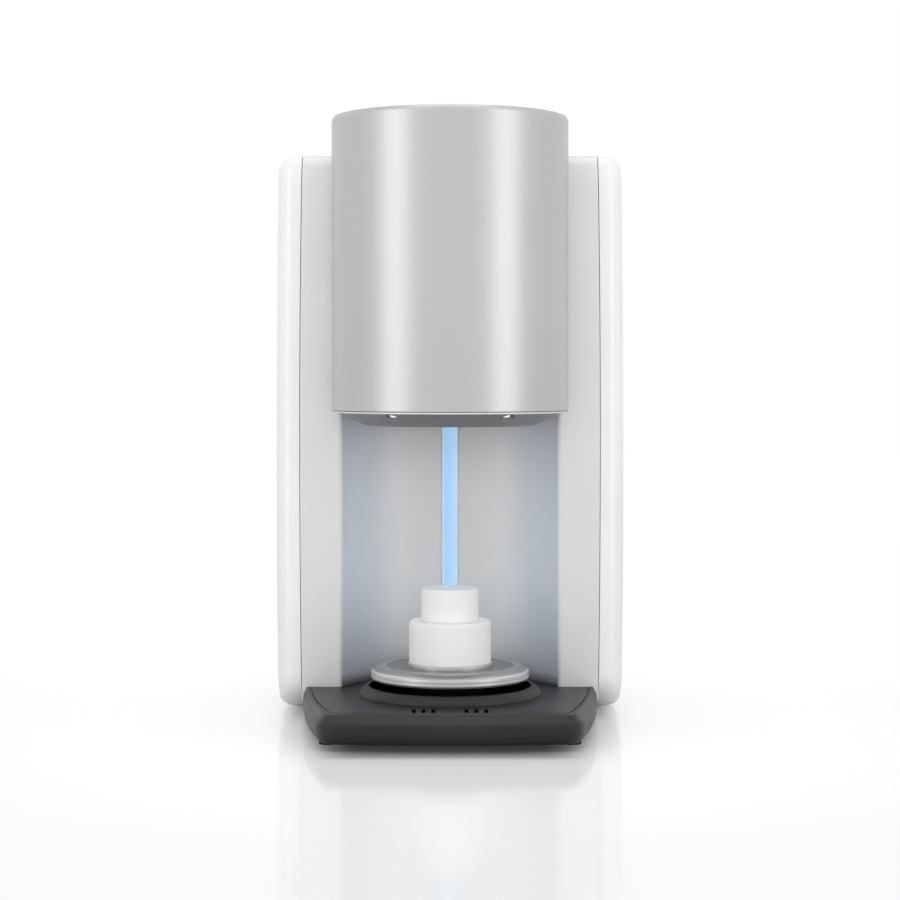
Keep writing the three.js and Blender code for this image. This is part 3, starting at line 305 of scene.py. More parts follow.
def turning_group():
    """Turning marks: noise of the height and of the distance from an upright axis, so lines run in rings."""
    group, entry, leave = new_group(
        "turning_marks",
        {"Centre Y": AXIS_Y, "Line Scale": 2600.0, "Depth": 0.15},
        {"Normal": "NodeSocketVector"},
    )
    given, place = entry.outputs, object_place(group)
    rings = group.nodes.new("ShaderNodeCombineXYZ")
    group.links.new(from_axis(group, place, given["Centre Y"]), rings.inputs["X"])
    group.links.new(place["Z"], rings.inputs["Y"])
    lines = noise(group, rings.outputs[0], given["Line Scale"], 1)
    group.links.new(bumped(group, lines, given["Depth"]), leave.inputs["Normal"])
    return group


GRAIN = grain_group()
TURNING = turning_group()
print("groups", [group.name for group in (GRAIN, TURNING)])


# %% Finish maker
def linear(*bytes_rgb):
    """An sRGB colour of 0 to 255 as linear light: the standard curve."""
    c = np.array(bytes_rgb) / 255
    return tuple(np.where(c <= 0.04045, c / 12.92, ((c + 0.055) / 1.055) ** 2.4)) + (1.0,)


def colour_ramp(tree, share, stops):
    """The colour at a share of 0 to 1, between stops of (share, sRGB colour)."""
    ramp = tree.nodes.new("ShaderNodeValToRGB")
    elements = ramp.color_ramp.elements
    while len(elements) < len(stops):
        elements.new(0.5)
    for element, (position, colour) in zip(elements, stops):
        element.position = position
        element.color = linear(*colour)
    tree.links.new(share, ramp.inputs["Fac"])
    return ramp.outputs["Color"]


def placed(tree, group, values):
    """A group placed in a material with its own values: its outputs."""
    node = tree.nodes.new("ShaderNodeGroup")
    node.node_tree = group
    for label, value in values.items():
        node.inputs[label].default_value = value
    return node.outputs


def finish(name, low, high, rough=0.4, spread=0.06, grain=(1800.0, 0.2), cloud=9.0, metal=0.0, coat=0.0,
           turning=None, **plain):
    """A Principled material whose colour drifts between two near tones and whose grain comes from the groups."""
    material = bpy.data.materials.new(name)
    material.use_nodes = True
    tree = material.node_tree
    shader = tree.nodes["Principled BSDF"]
    shader.inputs["Metallic"].default_value = metal
    shader.inputs["Coat Weight"].default_value = coat
    for socket, value in plain.items():
        shader.inputs[socket.replace("_", " ")].default_value = value
    fine = placed(tree, GRAIN, {"Grain Scale": grain[0], "Grain Depth": grain[1], "Cloud Scale": cloud,
                                "Roughness": rough, "Roughness Spread": spread})
    normal = fine["Normal"]
    if turning:
        normal = placed(tree, TURNING, {"Line Scale": turning[0], "Depth": turning[1]})["Normal"]
    tree.links.new(colour_ramp(tree, fine["Cloud"], [(0.3, low), (0.7, high)]), shader.inputs["Base Color"])
    tree.links.new(fine["Roughness"], shader.inputs["Roughness"])
    tree.links.new(normal, shader.inputs["Normal"])
    return material


def lit(name, colour, strength, emission):
    """A finish that also glows: plain emission on the shader's own sockets."""
    material = finish(name, colour, tuple(min(255, c + 6) for c in colour), rough=0.4, grain=(1200.0, 0.2))
    shader = material.node_tree.nodes["Principled BSDF"]
    shader.inputs["Emission Color"].default_value = linear(*emission)
    shader.inputs["Emission Strength"].default_value = strength
    return material


def toned(material, distance, stops, reach, socket="Base Color"):
    """Colours a socket of a finish by a distance in the piece, between stops of (mm, colour) up to the reach."""
    tree = material.node_tree
    target = tree.nodes["Principled BSDF"].inputs[socket]
    for old in list(target.links):
        tree.nodes.remove(old.from_node)
    share = maths(tree, "DIVIDE", distance(tree, object_place(tree)), reach * MM)
    tree.links.new(colour_ramp(tree, share, [(mm / reach, colour) for mm, colour in stops]), target)


# %% Finishes
SATIN = finish("satin_silver", (187, 187, 188), (190, 190, 191), rough=0.36, spread=0.03, grain=(3200.0, 0.10),
               metal=0.75)
# The rim's lighter silver is a painted highlight on the head's lower edge.
RIM_PAINTED_HIGHLIGHT = finish("rim_painted_highlight", (206, 206, 206), (211, 211, 211), rough=0.4, spread=0.04, grain=(3200.0, 0.06),
                   metal=0.3)
# The dish's silver is darkened: painted shade under the head.
DISH_SHADED_SILVER = finish("dish_silver_painted_shade", (122, 122, 124), (130, 130, 132), rough=0.5, spread=0.04, grain=(3200.0, 0.10),
              metal=0.35)
PANEL = finish("panel_silver", (215, 215, 215), (219, 219, 219), rough=0.45, spread=0.04, grain=(2800.0, 0.12),
               metal=0.25)
# The niche silver is painted: darker than the panel as shade in the recess, bluish at the sides as light from the
# stripe.
NICHE = finish("niche_silver_painted_shade_and_blue_light", (210, 209, 207), (210, 209, 207), rough=0.45, spread=0.04, grain=(2800.0, 0.12),
               metal=0.25)
WHITE = finish("gloss_white", (234, 234, 235), (237, 237, 238), rough=0.14, spread=0.02, grain=(300.0, 0.02),
               coat=0.15)
BLACK = finish("base_black", (26, 27, 27), (31, 32, 32), rough=0.42, spread=0.08, grain=(2200.0, 0.5),
               Specular_IOR_Level=0.35)
# The well floor's darker, duller black is painted shade in the recess; the lift arm uses the same black.
WELL_SHADE_AND_ARM_BLACK = finish("well_shade_and_arm_black", (12, 12, 13), (17, 17, 18), rough=0.7, spread=0.08, grain=(2200.0, 0.5),
              Specular_IOR_Level=0.15)
RUBBER = finish("rubber_foot", (22, 22, 23), (30, 30, 31), rough=0.8, spread=0.1, grain=(900.0, 0.6))
TABLE = finish("turned_aluminium", (166, 166, 167), (166, 166, 167), rough=0.34, spread=0.05, metal=0.7,
               turning=(2600.0, 0.12))
SEAT = finish("seat_steel", (190, 190, 190), (197, 197, 197), rough=0.3, spread=0.05, metal=0.6,
              turning=(2600.0, 0.1))
MACHINED = finish("machined_aluminium", (160, 161, 164), (176, 177, 180), rough=0.36, spread=0.1,
                  grain=(900.0, 0.25), metal=0.9)
ZINC = finish("zinc_steel", (150, 155, 160), (182, 186, 190), rough=0.4, spread=0.2, grain=(160.0, 0.15),
              cloud=60.0, metal=0.9)
CERAMIC = finish("white_ceramic", (236, 236, 235), (243, 243, 242), rough=0.75, spread=0.1, grain=(1400.0, 0.6))
CARBIDE = finish("silicon_carbide", (38, 38, 40), (56, 56, 58), rough=0.6, spread=0.15, grain=(700.0, 0.7))
COPPER = finish("copper_tube", (184, 112, 70), (200, 130, 86), rough=0.3, spread=0.15, grain=(500.0, 0.2), metal=1.0)
CIRCUIT = finish("circuit_board", (18, 70, 44), (28, 92, 58), rough=0.35, spread=0.1, grain=(420.0, 0.5), cloud=120.0)
PLASTIC = finish("black_plastic", (28, 29, 31), (36, 37, 39), rough=0.5, spread=0.1, grain=(1500.0, 0.6))
GLASS = finish("display_glass", (10, 11, 13), (14, 15, 17), rough=0.06, spread=0.02, grain=(200.0, 0.0), coat=0.6)
LENS = lit("lamp_lens", (232, 232, 232), 0.5, (240, 240, 240))

# %% [markdown]
# ## Tones that follow a piece
# Three finishes aren't even. The niche wall's silver is a little darker than the panel's, painted shade in the recess,
# and towards its sides it turns bluish, painted blue light from the stripe. The light behind the slot is paler at its
# edges. On the table the dish is darker, the rim edge bright and the side lighter than the shoulder: painted shade, a
# painted highlight and painted light on one aluminium. A gradient over a distance in the piece gives this with a few
# stops, in place of the even colour, where an image would tie the finish to one light.

# %% Toned finishes
SLOT_HALF = 7 * MM
# Niche tones: a darker silver near the slot as painted shade, a bluish silver at the sides as painted blue light.
WARM_SILVER, PLAIN_SILVER, BLUE_LIT_SILVER = (208, 206, 205), (210, 209, 207), (213, 217, 223)
PALE_EDGE, DEEP_BLUE, SOFT_BLUE = (186, 209, 237), (154, 205, 250), (180, 214, 249)
# Table tones round the shoulder's own tone: a darker dish as painted shade, a bright rim edge as a painted highlight, a
# lighter side as painted light.
TABLE_DISH_PAINTED_SHADE, TABLE_DISH_EDGE_PAINTED_SHADE, SHOULDER, TABLE_RIM_PAINTED_HIGHLIGHT, TABLE_SIDE_PAINTED_LIGHT = ((v, v, v + 1) for v in (112, 118, 166, 232, 196))


def from_middle(tree, place):
    """The distance from the middle plane, to either side."""
    return maths(tree, "ABSOLUTE", place["X"])


def from_slot_edge(tree, place):
    """The distance to the right of the slot's left edge."""
    return maths(tree, "ADD", place["X"], SLOT_HALF)


BLUE_LIGHT = lit("light_diffuser", (50, 54, 58), 0.86, DEEP_BLUE)
toned(BLUE_LIGHT, from_slot_edge, [(1, PALE_EDGE), (2.2, DEEP_BLUE), (11.8, SOFT_BLUE), (13, PALE_EDGE)], 14,
      "Emission Color")
# Painted shade and painted blue light across the niche wall.
toned(NICHE, from_middle, [(0, WARM_SILVER), (38, PLAIN_SILVER), (76, BLUE_LIT_SILVER)], 100)
# Painted shade, highlight and light on the table's rings.
toned(TABLE, from_axis, [(0, TABLE_DISH_PAINTED_SHADE), (54.3, TABLE_DISH_EDGE_PAINTED_SHADE), (55, SHOULDER), (65.8, SHOULDER),
                         (66.4, TABLE_RIM_PAINTED_HIGHLIGHT), (67.1, TABLE_RIM_PAINTED_HIGHLIGHT), (67.6, TABLE_SIDE_PAINTED_LIGHT)], 80)
print(f"{len(bpy.data.materials)} finishes, {len(bpy.data.node_groups)} groups")


# %% Dressing a piece
def dress(thing, material, body, stands_for):
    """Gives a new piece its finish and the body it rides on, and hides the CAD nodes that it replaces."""
    thing.data.materials.clear()
    thing.data.materials.append(material)
    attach(thing, body)
    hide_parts(*stands_for)


# %% [markdown]
# ## The head
# The head is a rolled and lacquered sleeve over a thin rim, and its top edge has a small
# round. The rim is given a lighter silver than the sleeve: a painted highlight along the head's lower edge. A
# cylinder primitive would have neither, so its wall section is drawn as a closed profile with fillets and turned round
# the axis.

# %% Head sleeve and rim
HEAD_WALL = 2 * MM
HEAD_BOTTOM, HEAD_TOP = float(HEAD_LOW[2]), float(HEAD_HIGH[2])
HEAD_INNER = HEAD_R - HEAD_WALL
TOP_ROUND = (1.3 * MM, 3.2 * MM)
RIM_R = HEAD_R - 0.1 * MM
RIM_LOW, RIM_HIGH = HEAD_BOTTOM - 1.9 * MM, HEAD_BOTTOM - 0.45 * MM
sleeve = turned("head_sleeve", loop_profile(
    [(HEAD_INNER, HEAD_BOTTOM), (HEAD_INNER, HEAD_TOP), (HEAD_R - TOP_ROUND[0], HEAD_TOP),
     (HEAD_R, HEAD_TOP - TOP_ROUND[1]), (HEAD_R, HEAD_BOTTOM)],
    mm(0.2, 0.3, 0.9, 2.4, 0.5),
), turns=256)
dress(even_shading(sleeve), SATIN, "housing", ["head_shell"])
rim_ring = turned("head_rim", loop_profile(
    [(HEAD_INNER, RIM_LOW), (HEAD_INNER, RIM_HIGH), (RIM_R, RIM_HIGH), (RIM_R, RIM_LOW)],
    mm(0.2, 0.2, 0.4, 0.3),
), turns=256)
dress(even_shading(rim_ring), RIM_PAINTED_HIGHLIGHT, "housing", ["head_shell"])
print(f"sleeve {2 * HEAD_R / MM:.0f} mm across, {(HEAD_TOP - HEAD_BOTTOM) / MM:.0f} mm tall")

# %% [markdown]
# ## The dished underside
# Under the head a shallow spun dish narrows to the chamber's mouth. Its silver is darker than the head's: painted
# shade, where the dish faces down towards the black base. Two small lamps sit in round holes near the front. The
# dish is turned like the sleeve, and the holes are cut by a Boolean with two plain plugs, which is simpler than
# threading a grid round them.

# %% Underside and lamps
DISH_LOW, DISH_HIGH = corners("head_underside")
MOUTH_R, FLAT_R, DISH_R = 40 * MM, 72 * MM, float(DISH_HIGH[0])
DISH_FLAT, DISH_TOP = float(DISH_LOW[2]), float(DISH_HIGH[2])
RIM_DROP = 3.7 * MM
SHEET = 2 * MM
LAMP_FORWARD, LAMP_HOLE_R = 5 * MM, 5.9 * MM
LENS_R, LENS_FLAT_R, LENS_DOME, LENS_DROP, LENS_INWARD = mm(4.3, 2.8, 1.6, 1.2, 1.8)
PLUG_MARGIN = 10 * MM
dish = turned("underside_dish", loop_profile(
    [(MOUTH_R, DISH_FLAT + SHEET), (MOUTH_R, DISH_FLAT), (FLAT_R, DISH_FLAT), (DISH_R, DISH_TOP - RIM_DROP),
     (DISH_R, DISH_TOP), (DISH_R - SHEET, DISH_TOP), (DISH_R - SHEET, DISH_TOP - RIM_DROP + SHEET),
     (FLAT_R, DISH_FLAT + SHEET)],
    mm(0.4, 0.5, 3, 0.4, 0.3, 0.3, 0.5, 2),
), turns=256)
for side in ("left", "right"):
    lamp_low, lamp_high = corners(f"lamp_{side}")
    lamp_x, lamp_y, _ = (lamp_low + lamp_high) / 2 - [0, LAMP_FORWARD, 0]
    plug_low, plug_high = DISH_FLAT - PLUG_MARGIN, DISH_TOP + PLUG_MARGIN
    cut_away(dish, turned(f"cut_{side}", [(0, plug_low), (LAMP_HOLE_R, plug_low), (LAMP_HOLE_R, plug_high),
                                          (0, plug_high)], (lamp_x, lamp_y), 48))
    lens_x = lamp_x - math.copysign(LENS_INWARD, lamp_x)
    lens_low, lens_high = float(lamp_low[2]) - LENS_DROP, float(lamp_high[2])
    lens = turned(f"lamp_{side}_lens", filleted(
        [(0, lens_low), (LENS_FLAT_R, lens_low), (LENS_R, lens_low + LENS_DOME), (LENS_R, lens_high), (0, lens_high)],
        mm(1.0, 0.8, 0.3)), (lens_x, lamp_y), 48)
    dress(lens, LENS, "housing", [f"lamp_{side}"])
dish.data.set_sharp_from_angle(angle=math.radians(32))
dress(dish, DISH_SHADED_SILVER, "housing", ["head_underside"])
print(f"dish {(DISH_TOP - DISH_FLAT) / MM:.1f} mm deep, lamps {2 * abs(lamp_x) / MM:.0f} mm apart")

# %% [markdown]
# ## The side shells
# Each shell is one moulding that wraps the side, the corners, the top edge and the rear edge. Its side bulges,
# its top edge is rounded, and at the foot the front sweeps back in a long toe. As a grid, columns run round the
# plan from the front seam to the rear seam and rows climb from the bottom edge to the seam on the top. A second
# grid, inset by the wall, is joined to it edge to edge, so the wall is closed without any modifier.

# %% Shell form
SHELL_WALL = 3 * MM
CORNER = 16.7 * MM
TOP_EDGE = 14 * MM
BROW = (28 * MM, 9 * MM)
FOOT_EDGE = 15 * MM
TOE = (36 * MM, 80 * MM)
BOW = 2 * MM
BULGE = 6 * MM
SEAM_BOW = 2.1 * MM
SEAM_HALF = 131.8 * MM
SEAM_GAP = 0.3 * MM
LIP, INNER_LIP = 0.7 * MM, 0.05 * MM
HALF_WIDTH = 159.2 * MM
FLOOR_GAP = float(SHELL_LOW[2])
SHELL_FRONT = float(SHELL_LOW[1])


def height_share(z):
    """-1 at the bottom of the shells, 0 in the middle and 1 at the top."""
    middle = (BODY_TOP + FLOOR_GAP) / 2
    return (z - middle) / ((BODY_TOP - FLOOR_GAP) / 2)


def seam_half(z):
    """Half the width of the silver panel at a height: it narrows a little towards both ends."""
    return SEAM_HALF - SEAM_BOW * height_share(z) ** 2


def rounding(z, end, height, depth):
    """How far a face falls back near an end: depth (1 - sqrt(1 - u^2)), u from 0 at height away to 1 there."""
    u = np.clip(1 - np.abs(z - end) / height, 0, 1)
    return depth * (1 - np.sqrt(1 - u**2))


def front_fall(z):
    """How far the front falls back at a height: a slow brow at the top and a long toe at the foot."""
    return rounding(z, BODY_TOP, *BROW) + rounding(z, FLOOR_GAP, *TOE)


def side_fall(z):
    """How far side and rear fall in at a height: rounds at the top edge and at the foot."""
    return rounding(z, BODY_TOP, TOP_EDGE, TOP_EDGE) + rounding(z, FLOOR_GAP, FOOT_EDGE, FOOT_EDGE)


def body_levels():
    """Heights up the body, close together at both ends: the ends follow 1 - cos."""
    ease = 1 - np.cos(np.linspace(0, math.pi / 2, 15))
    straight = np.linspace(FLOOR_GAP + TOE[0], BODY_TOP - BROW[0], 22)[1:-1]
    return np.concatenate([FLOOR_GAP + TOE[0] * ease, straight, BODY_TOP - BROW[0] * ease[::-1]])


def quarter_turn(cx, cy, radius, start, steps=12):
    """Points of a quarter circle, anticlockwise from start."""
    a = start + np.linspace(0, math.pi / 2, steps)
    return np.stack([cx + radius * np.cos(a), cy + radius * np.sin(a)], -1)


def shell_row(z, inset):
    """One row of the right shell from seam to seam. Its side bulges: x = edge + bulge (1 - share^2)^1.5."""
    edge = HALF_WIDTH - BULGE - BOW * height_share(z) ** 2 - side_fall(z) - inset
    front, back = SHELL_FRONT + front_fall(z) + inset, REAR_Y - side_fall(z) - inset
    corner = CORNER - 0.8 * side_fall(z) - inset
    seam = seam_half(z) + SEAM_GAP
    lip = INNER_LIP if inset else LIP
    share = np.linspace(-1, 1, 26)[1:-1]
    side_x = edge + BULGE * (1 - share**2) ** 1.5
    side_y = (front + back) / 2 + share * ((back - front) / 2 - corner)
    reach = np.array([0, 0.1, 0.3, 0.6, 1.0])
    band = seam + (edge - corner - seam) * np.linspace(0, 1, 6)[1:-1]
    lip_x = seam + np.minimum(lip, 0.4 * (band[0] - seam)) * reach
    lip_y = lip * (1 - np.sqrt(1 - (1 - reach) ** 2))
    return np.concatenate([
        np.stack([lip_x, front + lip_y], -1),
        np.stack([band, np.full(len(band), front)], -1),
        quarter_turn(edge - corner, front + corner, corner, -math.pi / 2),
        np.stack([side_x, side_y], -1),
        quarter_turn(edge - corner, back - corner, corner, 0),
        np.stack([band[::-1], np.full(len(band), back)], -1),
        np.stack([lip_x[::-1], back - lip_y[::-1]], -1),
    ])


def shell_face(inset):
    """The grid of one face of the wall: rows up the body, then the flat top drawn in to the seam."""
    top, bottom = BODY_TOP - inset, FLOOR_GAP + inset
    levels = body_levels()
    plans = [shell_row(z, inset) for z in levels]
    rows = np.array([np.column_stack([plan, np.full(len(plan), z)]) for plan, z in zip(plans, levels)])
    rows[..., 2] = bottom + (rows[..., 2] - FLOOR_GAP) * (top - bottom) / (BODY_TOP - FLOOR_GAP)
    last = rows[-1]
    seam_line = last.copy()
    seam_line[:, 0] = seam_half(BODY_TOP) + SEAM_GAP
    return np.array([*rows, *[last + (seam_line - last) * share for share in (0.3, 0.7, 1.0)]])


def shell(name, side):
    """A side shell: outer rows upwards, inner rows downwards, closed round, with both seam edges capped."""
    outer, inner = shell_face(0.0), shell_face(SHELL_WALL)
    grid = np.concatenate([outer, inner[::-1]])
    grid[..., 0] *= side
    rows, columns = grid.shape[:2]
    faces = grid_faces(rows, columns, close_rows=True)
    up = np.arange(len(outer) - 1)
    caps = np.stack([up, up + 1, rows - 2 - up, rows - 1 - up], -1) * columns
    ends = [caps + column for column in (0, columns - 1)]
    return even_shading(face_out(mesh_object(name, grid.reshape(-1, 3), np.concatenate([faces, *ends]), sharp=40)))


for side_name, side in (("left", -1), ("right", 1)):
    dress(shell(f"{side_name}_shell_skin", side), WHITE, "housing", [f"{side_name}_shell"])
print("shells", [tuple(round(v / MM) for v in corner) for corner in (SHELL_LOW, SHELL_HIGH)])

# %% [markdown]
# ## The front panel and the niche
# The silver panel has two flat strips that roll over at the top, and a half-round niche wall between them with
# an upright slot. Strips and wall are two grids. The slot is left out of the wall's grid by dropping the quads
# inside it, because the grid has lines exactly at its edges.

# %% Panel strips
NICHE_R = HEAD_R + 0.35 * MM
WALL = 2 * MM
RETURN = 14 * MM
PANEL_DROP = 12 * MM
EDGE_SOFT = 0.8 * MM


def strip(side):
    """A strip's surface: columns from the niche edge to the seam, rows up the front, over the brow and back."""
    rise = np.linspace(0, math.pi / 2, 16)
    z = np.concatenate([np.linspace(BASE_TOP - PANEL_DROP, BODY_TOP - BROW[0], 26)[:-1],
                        BODY_TOP - BROW[0] * (1 - np.sin(rise)), [BODY_TOP]])
    y = PANEL_Y + rounding(z, BODY_TOP, *BROW)
    y[-1] = PANEL_Y + RETURN
    inner_x = np.sqrt(NICHE_R**2 - np.minimum(y - AXIS_Y, NICHE_R) ** 2)
    outer_x = seam_half(z)
    x = inner_x[:, None] + (outer_x - inner_x)[:, None] * np.linspace(0, 1, 14)[None, :]
    x[:, -2] = outer_x - 0.35 * EDGE_SOFT
    x[:, -3] = outer_x - EDGE_SOFT
    across = np.array([0.0] * 11 + [0.0, 0.3, 0.9])[None, :] * EDGE_SOFT
    tilt = np.concatenate([np.zeros(25), rise, [math.pi / 2]])[:, None]
    points = np.stack([side * x, y[:, None] + np.cos(tilt) * across, z[:, None] - np.sin(tilt) * across], -1)
    faces = grid_faces(*points.shape[:2])
    return points.reshape(-1, 3), faces if side > 0 else faces[:, ::-1]


def joined(name, patches):
    """One object from several (vertices, faces) patches."""
    vertices, faces, count = [], [], 0
    for points, quads in patches:
        vertices.append(points)
        faces.append(quads + count)
        count += len(points)
    return mesh_object(name, np.concatenate(vertices), np.concatenate(faces), sharp=40)


strips = solidify(joined("front_panel_strips", [strip(1), strip(-1)]), WALL)
PANEL_HALVES = ["front_panel_left", "front_panel_right"]
dress(even_shading(strips), PANEL, "housing", PANEL_HALVES)
print(f"panel {2 * SEAM_HALF / MM:.0f} mm wide, its plane at y {PANEL_Y / MM:.1f} mm")

# %% Niche wall
SLOT_TOP = HEAD_BOTTOM - 3 * MM
SLOT_ROWS = 24


def niche_wall():
    """The wall: columns at angles round the head's axis behind the panel plane, rows up to the top cover."""
    edge = math.acos((PANEL_Y - AXIS_Y) / NICHE_R)
    slot = math.asin(SLOT_HALF / NICHE_R)
    half = np.concatenate([[slot], slot + (edge - slot) * np.linspace(0, 1, 40)[1:]])
    angles = np.concatenate([-half[::-1], half])
    z = np.concatenate([np.linspace(BASE_TOP, SLOT_TOP, SLOT_ROWS),
                        np.linspace(SLOT_TOP, BODY_TOP - 2.5 * MM, 16)[1:]])
    a, h = np.meshgrid(angles, z)
    points = np.stack([NICHE_R * np.sin(a), AXIS_Y + NICHE_R * np.cos(a), h], -1)
    faces = grid_faces(*points.shape[:2])
    columns = points.shape[1]
    in_slot = (faces[:, 0] % columns == len(half) - 1) & (faces[:, 0] // columns < SLOT_ROWS - 1)
    return points.reshape(-1, 3), faces[~in_slot]


wall = mesh_object("niche_wall", *niche_wall(), sharp=60)
dress(solidify(wall, WALL), NICHE, "housing", PANEL_HALVES)
print(f"niche radius {NICHE_R / MM:.1f} mm, slot {2 * SLOT_HALF / MM:.0f} mm wide up to {SLOT_TOP / MM:.0f} mm")

# %% [markdown]
# ## The base
# The base is one black moulding. Seen from above its sides run in towards a slightly bowed nose, and its edge
# has a broad bevel. Because the outline can be seen whole from the head's axis, one radius for each angle
# describes it, and a section drawn from the floor to the top is carried round that outline. The plate let into
# the top has two groups of short vent slots, cut like the lamp holes. The underside is hollow round the well, as
# a moulding's is, with a boss for each foot.

# %% Base outline
BASE_SIZE = dict(half=128.7, shoulder=125.5, nose_half=109.4, bend_half=105.7, corner_half=95,
                 side=107.5, bend=123.9, corner=125.6, nose=133.3)
PLATE_SIZE = dict(half=121.9, shoulder=117.5, nose_half=98.6, bend_half=94.7, corner_half=84,
                  side=101.5, bend=115.6, corner=117.4, nose=124)


def bezier(a, b, c, steps):
    """Points of a quadratic curve from a to c, pulled towards b."""
    a, b, c = (np.asarray(p, float) for p in (a, b, c))
    t = np.linspace(0, 1, steps)[:, None]
    return (1 - t) ** 2 * a + 2 * t * (1 - t) * b + t**2 * c


def nose_outline(size, back, steps=24):
    """The outline about the head's axis, in metres, anticlockwise from the right rear corner's mirror."""
    s = {key: value * MM for key, value in size.items()}
    plane = PANEL_Y - AXIS_Y
    middle = (plane - s["side"]) / 2
    side = bezier((s["half"], plane), (s["shoulder"], middle), (s["nose_half"], -s["side"]), steps)
    bend_end = (s["corner_half"], -s["corner"])
    corner = bezier((s["nose_half"], -s["side"]), (s["bend_half"], -s["bend"]), bend_end, steps)
    nose = bezier(bend_end, (0, s["corner"] - 2 * s["nose"]), (-s["corner_half"], -s["corner"]), steps)
    right = np.concatenate([back, side, corner[1:]])
    left = (right * [-1, 1])[::-1]
    return np.concatenate([right, nose[1:-1], left])[::-1]


def inset_outline(points, amount):
    """An outline moved inwards: each point goes along the mean normal of its two sides."""
    ahead = np.roll(points, -1, 0) - points
    behind = points - np.roll(points, 1, 0)
    unit = lambda v: v / np.maximum(np.linalg.norm(v, axis=1, keepdims=True), 1e-12)
    normal = unit(np.stack([-unit(ahead)[:, 1] - unit(behind)[:, 1], unit(ahead)[:, 0] + unit(behind)[:, 0]], -1))
    return points + normal * amount


def dense(points, spacing):
    """The same closed outline with points no further apart than spacing, corners kept."""
    out = []
    for a, b in zip(points, np.roll(points, -1, 0)):
        count = max(1, int(np.ceil(np.linalg.norm(b - a) / spacing)))
        out.append(a + (b - a) * np.arange(count)[:, None] / count)
    return np.concatenate(out)


def bevel_share(outline):
    """How wide the bevel is at each point: full at the nose and narrower from there to the panel's plane."""
    ahead = np.clip((PANEL_Y - AXIS_Y - outline[:, 1]) / (90 * MM), 0, 1)
    return (0.55 + 0.45 * ahead)[:, None]


def carried(name, outline, section):
    """A section of (inset, height) carried round an outline about the head's axis."""
    share = bevel_share(outline)
    rings = [np.column_stack([inset_outline(outline, inset * share) + [0, AXIS_Y], np.full(len(outline), z)])
             for inset, z in section]
    points = np.array(rings).transpose(1, 0, 2)
    faces = grid_faces(points.shape[0], points.shape[1], close_rows=True)
    return mesh_object(name, points.reshape(-1, 3), faces, sharp=35)


# %% Base moulding
REAR_ROUND = 3 * MM
REAR_REACH = REAR_Y - AXIS_Y
BASE_BOTTOM = float(BASE_LOW[2])
PLATE_DEPTH = 1.5 * MM
rear_corner = quarter_turn(BASE_SIZE["half"] * MM - REAR_ROUND, REAR_REACH - REAR_ROUND, REAR_ROUND, 0, 5)[::-1]
base_outline = dense(nose_outline(BASE_SIZE, rear_corner), 4 * MM)
section = filleted(
    [(8 * MM, BASE_BOTTOM), (3.8 * MM, BASE_BOTTOM), (1.8 * MM, BASE_BOTTOM + 2.2 * MM),
     (0.2 * MM, BASE_BOTTOM + 8 * MM), (0, BASE_TOP - 6.9 * MM), (6 * MM, BASE_TOP), (6.9 * MM, BASE_TOP)],
    mm(0.8, 1.6, 3, 2.2, 1.4), 7)
edge = carried("base_edge", base_outline, section)
dress(even_shading(edge), BLACK, "housing", ["base_tray"])
print(f"base outline of {len(base_outline)} points, {(BASE_TOP - BASE_BOTTOM) / MM:.1f} mm high")

# %% Plate outline
ANGLES = -math.pi + 2 * math.pi * np.arange(720) / 720
NO_REAR = np.empty((0, 2))
plate_front = dense(nose_outline(PLATE_SIZE, NO_REAR), 3 * MM)


def polar(outline):
    """The outline's radius at each of ANGLES about the axis."""
    a = np.arctan2(outline[:, 1], outline[:, 0])
    order = np.argsort(a)
    return np.interp(ANGLES, a[order], np.linalg.norm(outline, axis=1)[order], period=2 * math.pi)


def niche_floor(radius):
    """The radius of the plate's rear edge: the panel plane, or the niche's round floor where that is further."""
    rise = np.sin(ANGLES)
    along = np.where(rise > 1e-6, (PANEL_Y - AXIS_Y) / np.maximum(rise, 1e-6), np.inf)
    return np.where(along > NICHE_R, np.minimum(along, radius), NICHE_R - 0.6 * MM)


def polar_sheet(name, rings, solid=False):
    """A sheet of closed rings, each a radius for each angle and a height; a solid one joins its last to its first."""
    points = []
    for radius, z in rings:
        r = np.broadcast_to(radius, ANGLES.shape)
        points.append(np.stack([r * np.cos(ANGLES), AXIS_Y + r * np.sin(ANGLES), np.full(len(ANGLES), z)], -1))
    points = np.array(points).transpose(1, 0, 2)
    faces = grid_faces(points.shape[0], points.shape[1], close_rows=True, close_columns=solid)
    return mesh_object(name, points.reshape(-1, 3), faces, sharp=35)


def inside_base(amount):
    """The base outline's radius at each angle, an amount further in."""
    return polar(inset_outline(base_outline, amount))


front_radius = polar(plate_front)
plate_radius = np.where(np.sin(ANGLES) > 0, niche_floor(front_radius), front_radius)
print(f"plate radius {plate_radius.min() / MM:.1f} to {plate_radius.max() / MM:.1f} mm")

